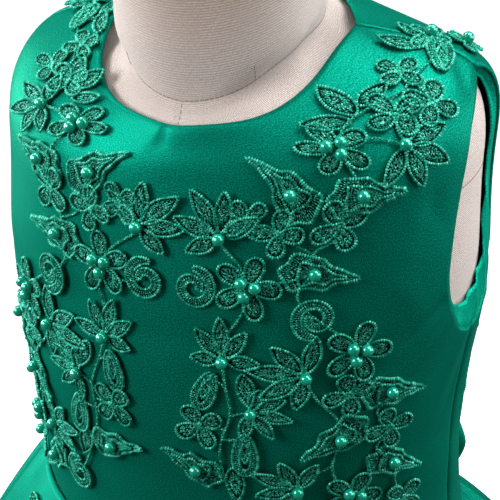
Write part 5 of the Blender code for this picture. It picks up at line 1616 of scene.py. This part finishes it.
neck_row += NECK_SEAM_ROW
neck_lines = [(cover_points[neck_row], True)]
neck_lines += [(cover_points[neck_row - MIDDLE_ROWS:neck_row, column], False)
               for column in (0, FORM_COLUMNS // 2)]
neck_lines += [(cover_points[neck_row:neck_row + DART_ROWS, column], False) for column in DART_COLUMNS]
first, last = ARM_SEAM_COLUMNS
neck_lines += [(cover_points[arm_row, first:last], False),
               (cover_points[arm_row, FORM_COLUMNS - last:FORM_COLUMNS - first], False)]
neck_stitches = grown(line_object("neck_stitches", neck_lines), stitch_tree(), {
    "Pitch": STITCH_PITCH_COVER, "Length": STITCH_LENGTH, "Radius": STITCH_RADIUS,
    "Finish": make_stitch_thread()})
dress(neck_stitches)
print("stitches:", len(neck_stitches.data.polygons) // (ROD_SIDES + 2))

# %% Stand
for node, finish in (("form_neck_cap", wood), ("form_pole", steel), ("form_base", steel)):
    obj = bpy.data.objects[node]
    obj.data.materials.clear()
    obj.data.materials.append(finish)

# %% [markdown]
# ## Camera, floor and light
# The photograph looks down on the bodice from the front and a little to the garment's left. The white room
# becomes a white sweep, which rises into a wall all round. Six soft lamps copy its light: two at the left,
# two weaker ones at the right, and two high up behind the shoulders, so that the satin goes from bright on
# the left to dark in the middle.
# %% Camera
AZIMUTH, ELEVATION, ROLL = math.radians(23.5), math.radians(26.0), math.radians(1.5)
DISTANCE = 0.75
FRAME_WIDTH = 0.5 * 0.5231  # the photo's 500 pixels, each 0.5231 mm wide at the target
TARGET_SIDE, TARGET_UP = 0.004, 0.1272
SENSOR = 36.0


def direction(around, above):
    """Unit vector from its turn round the object, 0 at the front, and its rise, both in radians."""
    level = math.cos(above)
    return Vector((math.sin(around) * level, -math.cos(around) * level, math.sin(above)))


back = direction(AZIMUTH, ELEVATION)
right = Vector((math.cos(AZIMUTH), math.sin(AZIMUTH), 0.0))
level_up = back.cross(right)
rolled_right = right * math.cos(ROLL) - level_up * math.sin(ROLL)
rolled_up = right * math.sin(ROLL) + level_up * math.cos(ROLL)
target = Vector((0, 0, WAIST_HEIGHT + TARGET_UP)) + right * TARGET_SIDE

camera_data = bpy.data.cameras.new("camera")
camera_data.sensor_width = SENSOR
camera_data.lens = SENSOR * DISTANCE / FRAME_WIDTH
camera_data.clip_start = 0.02
camera = put("camera", camera_data)
turn = Matrix((rolled_right, rolled_up, back)).transposed().to_4x4()
camera.matrix_world = Matrix.Translation(target + back * DISTANCE) @ turn
bpy.context.scene.camera = camera
print("lens:", round(camera_data.lens, 1), "mm")

# %% Floor and world
FLOOR_TONE = (0.92, 0.92, 0.92)
FLOOR_RADIUS, SWEEP_RADIUS, WALL_HEIGHT = 7.0, 1.0, 6.0
SWEEP_SIDES = 64


def floor_finish():
    """White paper that glows, a little less round the stand: painted soft shade, where a real room would be
    in shade.
    """
    made, add, join = start_material("white floor", FLOOR_TONE, 0.9, **{"Emission Strength": 1.0})
    place = own_place(add)
    join(ramp(add, noise(add, place, 3.0), (0.3, 0.90), (0.7, 0.93)), "Base Color")
    away = add("ShaderNodeVectorMath", {0: place}, operation="LENGTH").outputs["Value"]
    # Painted shade: the glow dims toward the stand.
    join(ramp(add, away, (0.10, 0.62), (0.35, 0.80), (0.80, 1.0)), "Emission Color")
    return made


def make_floor():
    """A round floor that sweeps up into a wall, as a photographer's paper does."""
    bend = np.linspace(0, math.pi / 2, 9)
    radii = np.append(FLOOR_RADIUS + SWEEP_RADIUS * np.sin(bend), FLOOR_RADIUS + SWEEP_RADIUS)
    heights = np.append(SWEEP_RADIUS * (1 - np.cos(bend)), WALL_HEIGHT)
    turns = unit_turns(SWEEP_SIDES)
    points = np.stack(np.broadcast_arrays(radii[:, None] * np.cos(turns), radii[:, None] * np.sin(turns),
                                          heights[:, None]), axis=-1)
    faces = grid_faces(len(radii), SWEEP_SIDES, around=True, flip=True).tolist() + [range(SWEEP_SIDES)]
    floor = add_piece("floor", points, faces, floor_finish())
    floor.visible_diffuse = False
    floor.visible_glossy = False
    floor.visible_shadow = False


make_floor()
world = bpy.data.worlds.new("room")
world.use_nodes = True
room_light = world.node_tree.nodes["Background"].inputs
room_light["Color"].default_value = (1, 0.93, 0.88, 1)
room_light["Strength"].default_value = 0.10
bpy.context.scene.world = world
bpy.context.scene.view_settings.view_transform = "Standard"

# %% Lamps
# Columns: name, degrees round from the front toward the garment's left, degrees up, distance, size, watts
LAMPS = (
    ("left low softbox", -95, 8, 1.30, 0.80, 15.7),
    ("left front softbox", -45, 25, 1.40, 0.60, 18.7),
    ("right softbox", 85, 25, 1.30, 0.70, 6.8),
    ("top left softbox", -110, 60, 1.20, 0.60, 7.8),
    ("top right softbox", 110, 65, 1.10, 0.85, 15.0),
    ("low right softbox", 122, 5, 1.30, 0.60, 5.0),
)


def add_lamp(name, round_degrees, up_degrees, distance, size, watts):
    toward = direction(math.radians(round_degrees), math.radians(up_degrees))
    lamp = bpy.data.lights.new(name, "AREA")
    lamp.size = size
    lamp.energy = watts
    obj = put(name, lamp)
    obj.location = target + toward * distance
    obj.rotation_euler = toward.to_track_quat("Z", "Y").to_euler()


for row in LAMPS:
    add_lamp(*row)
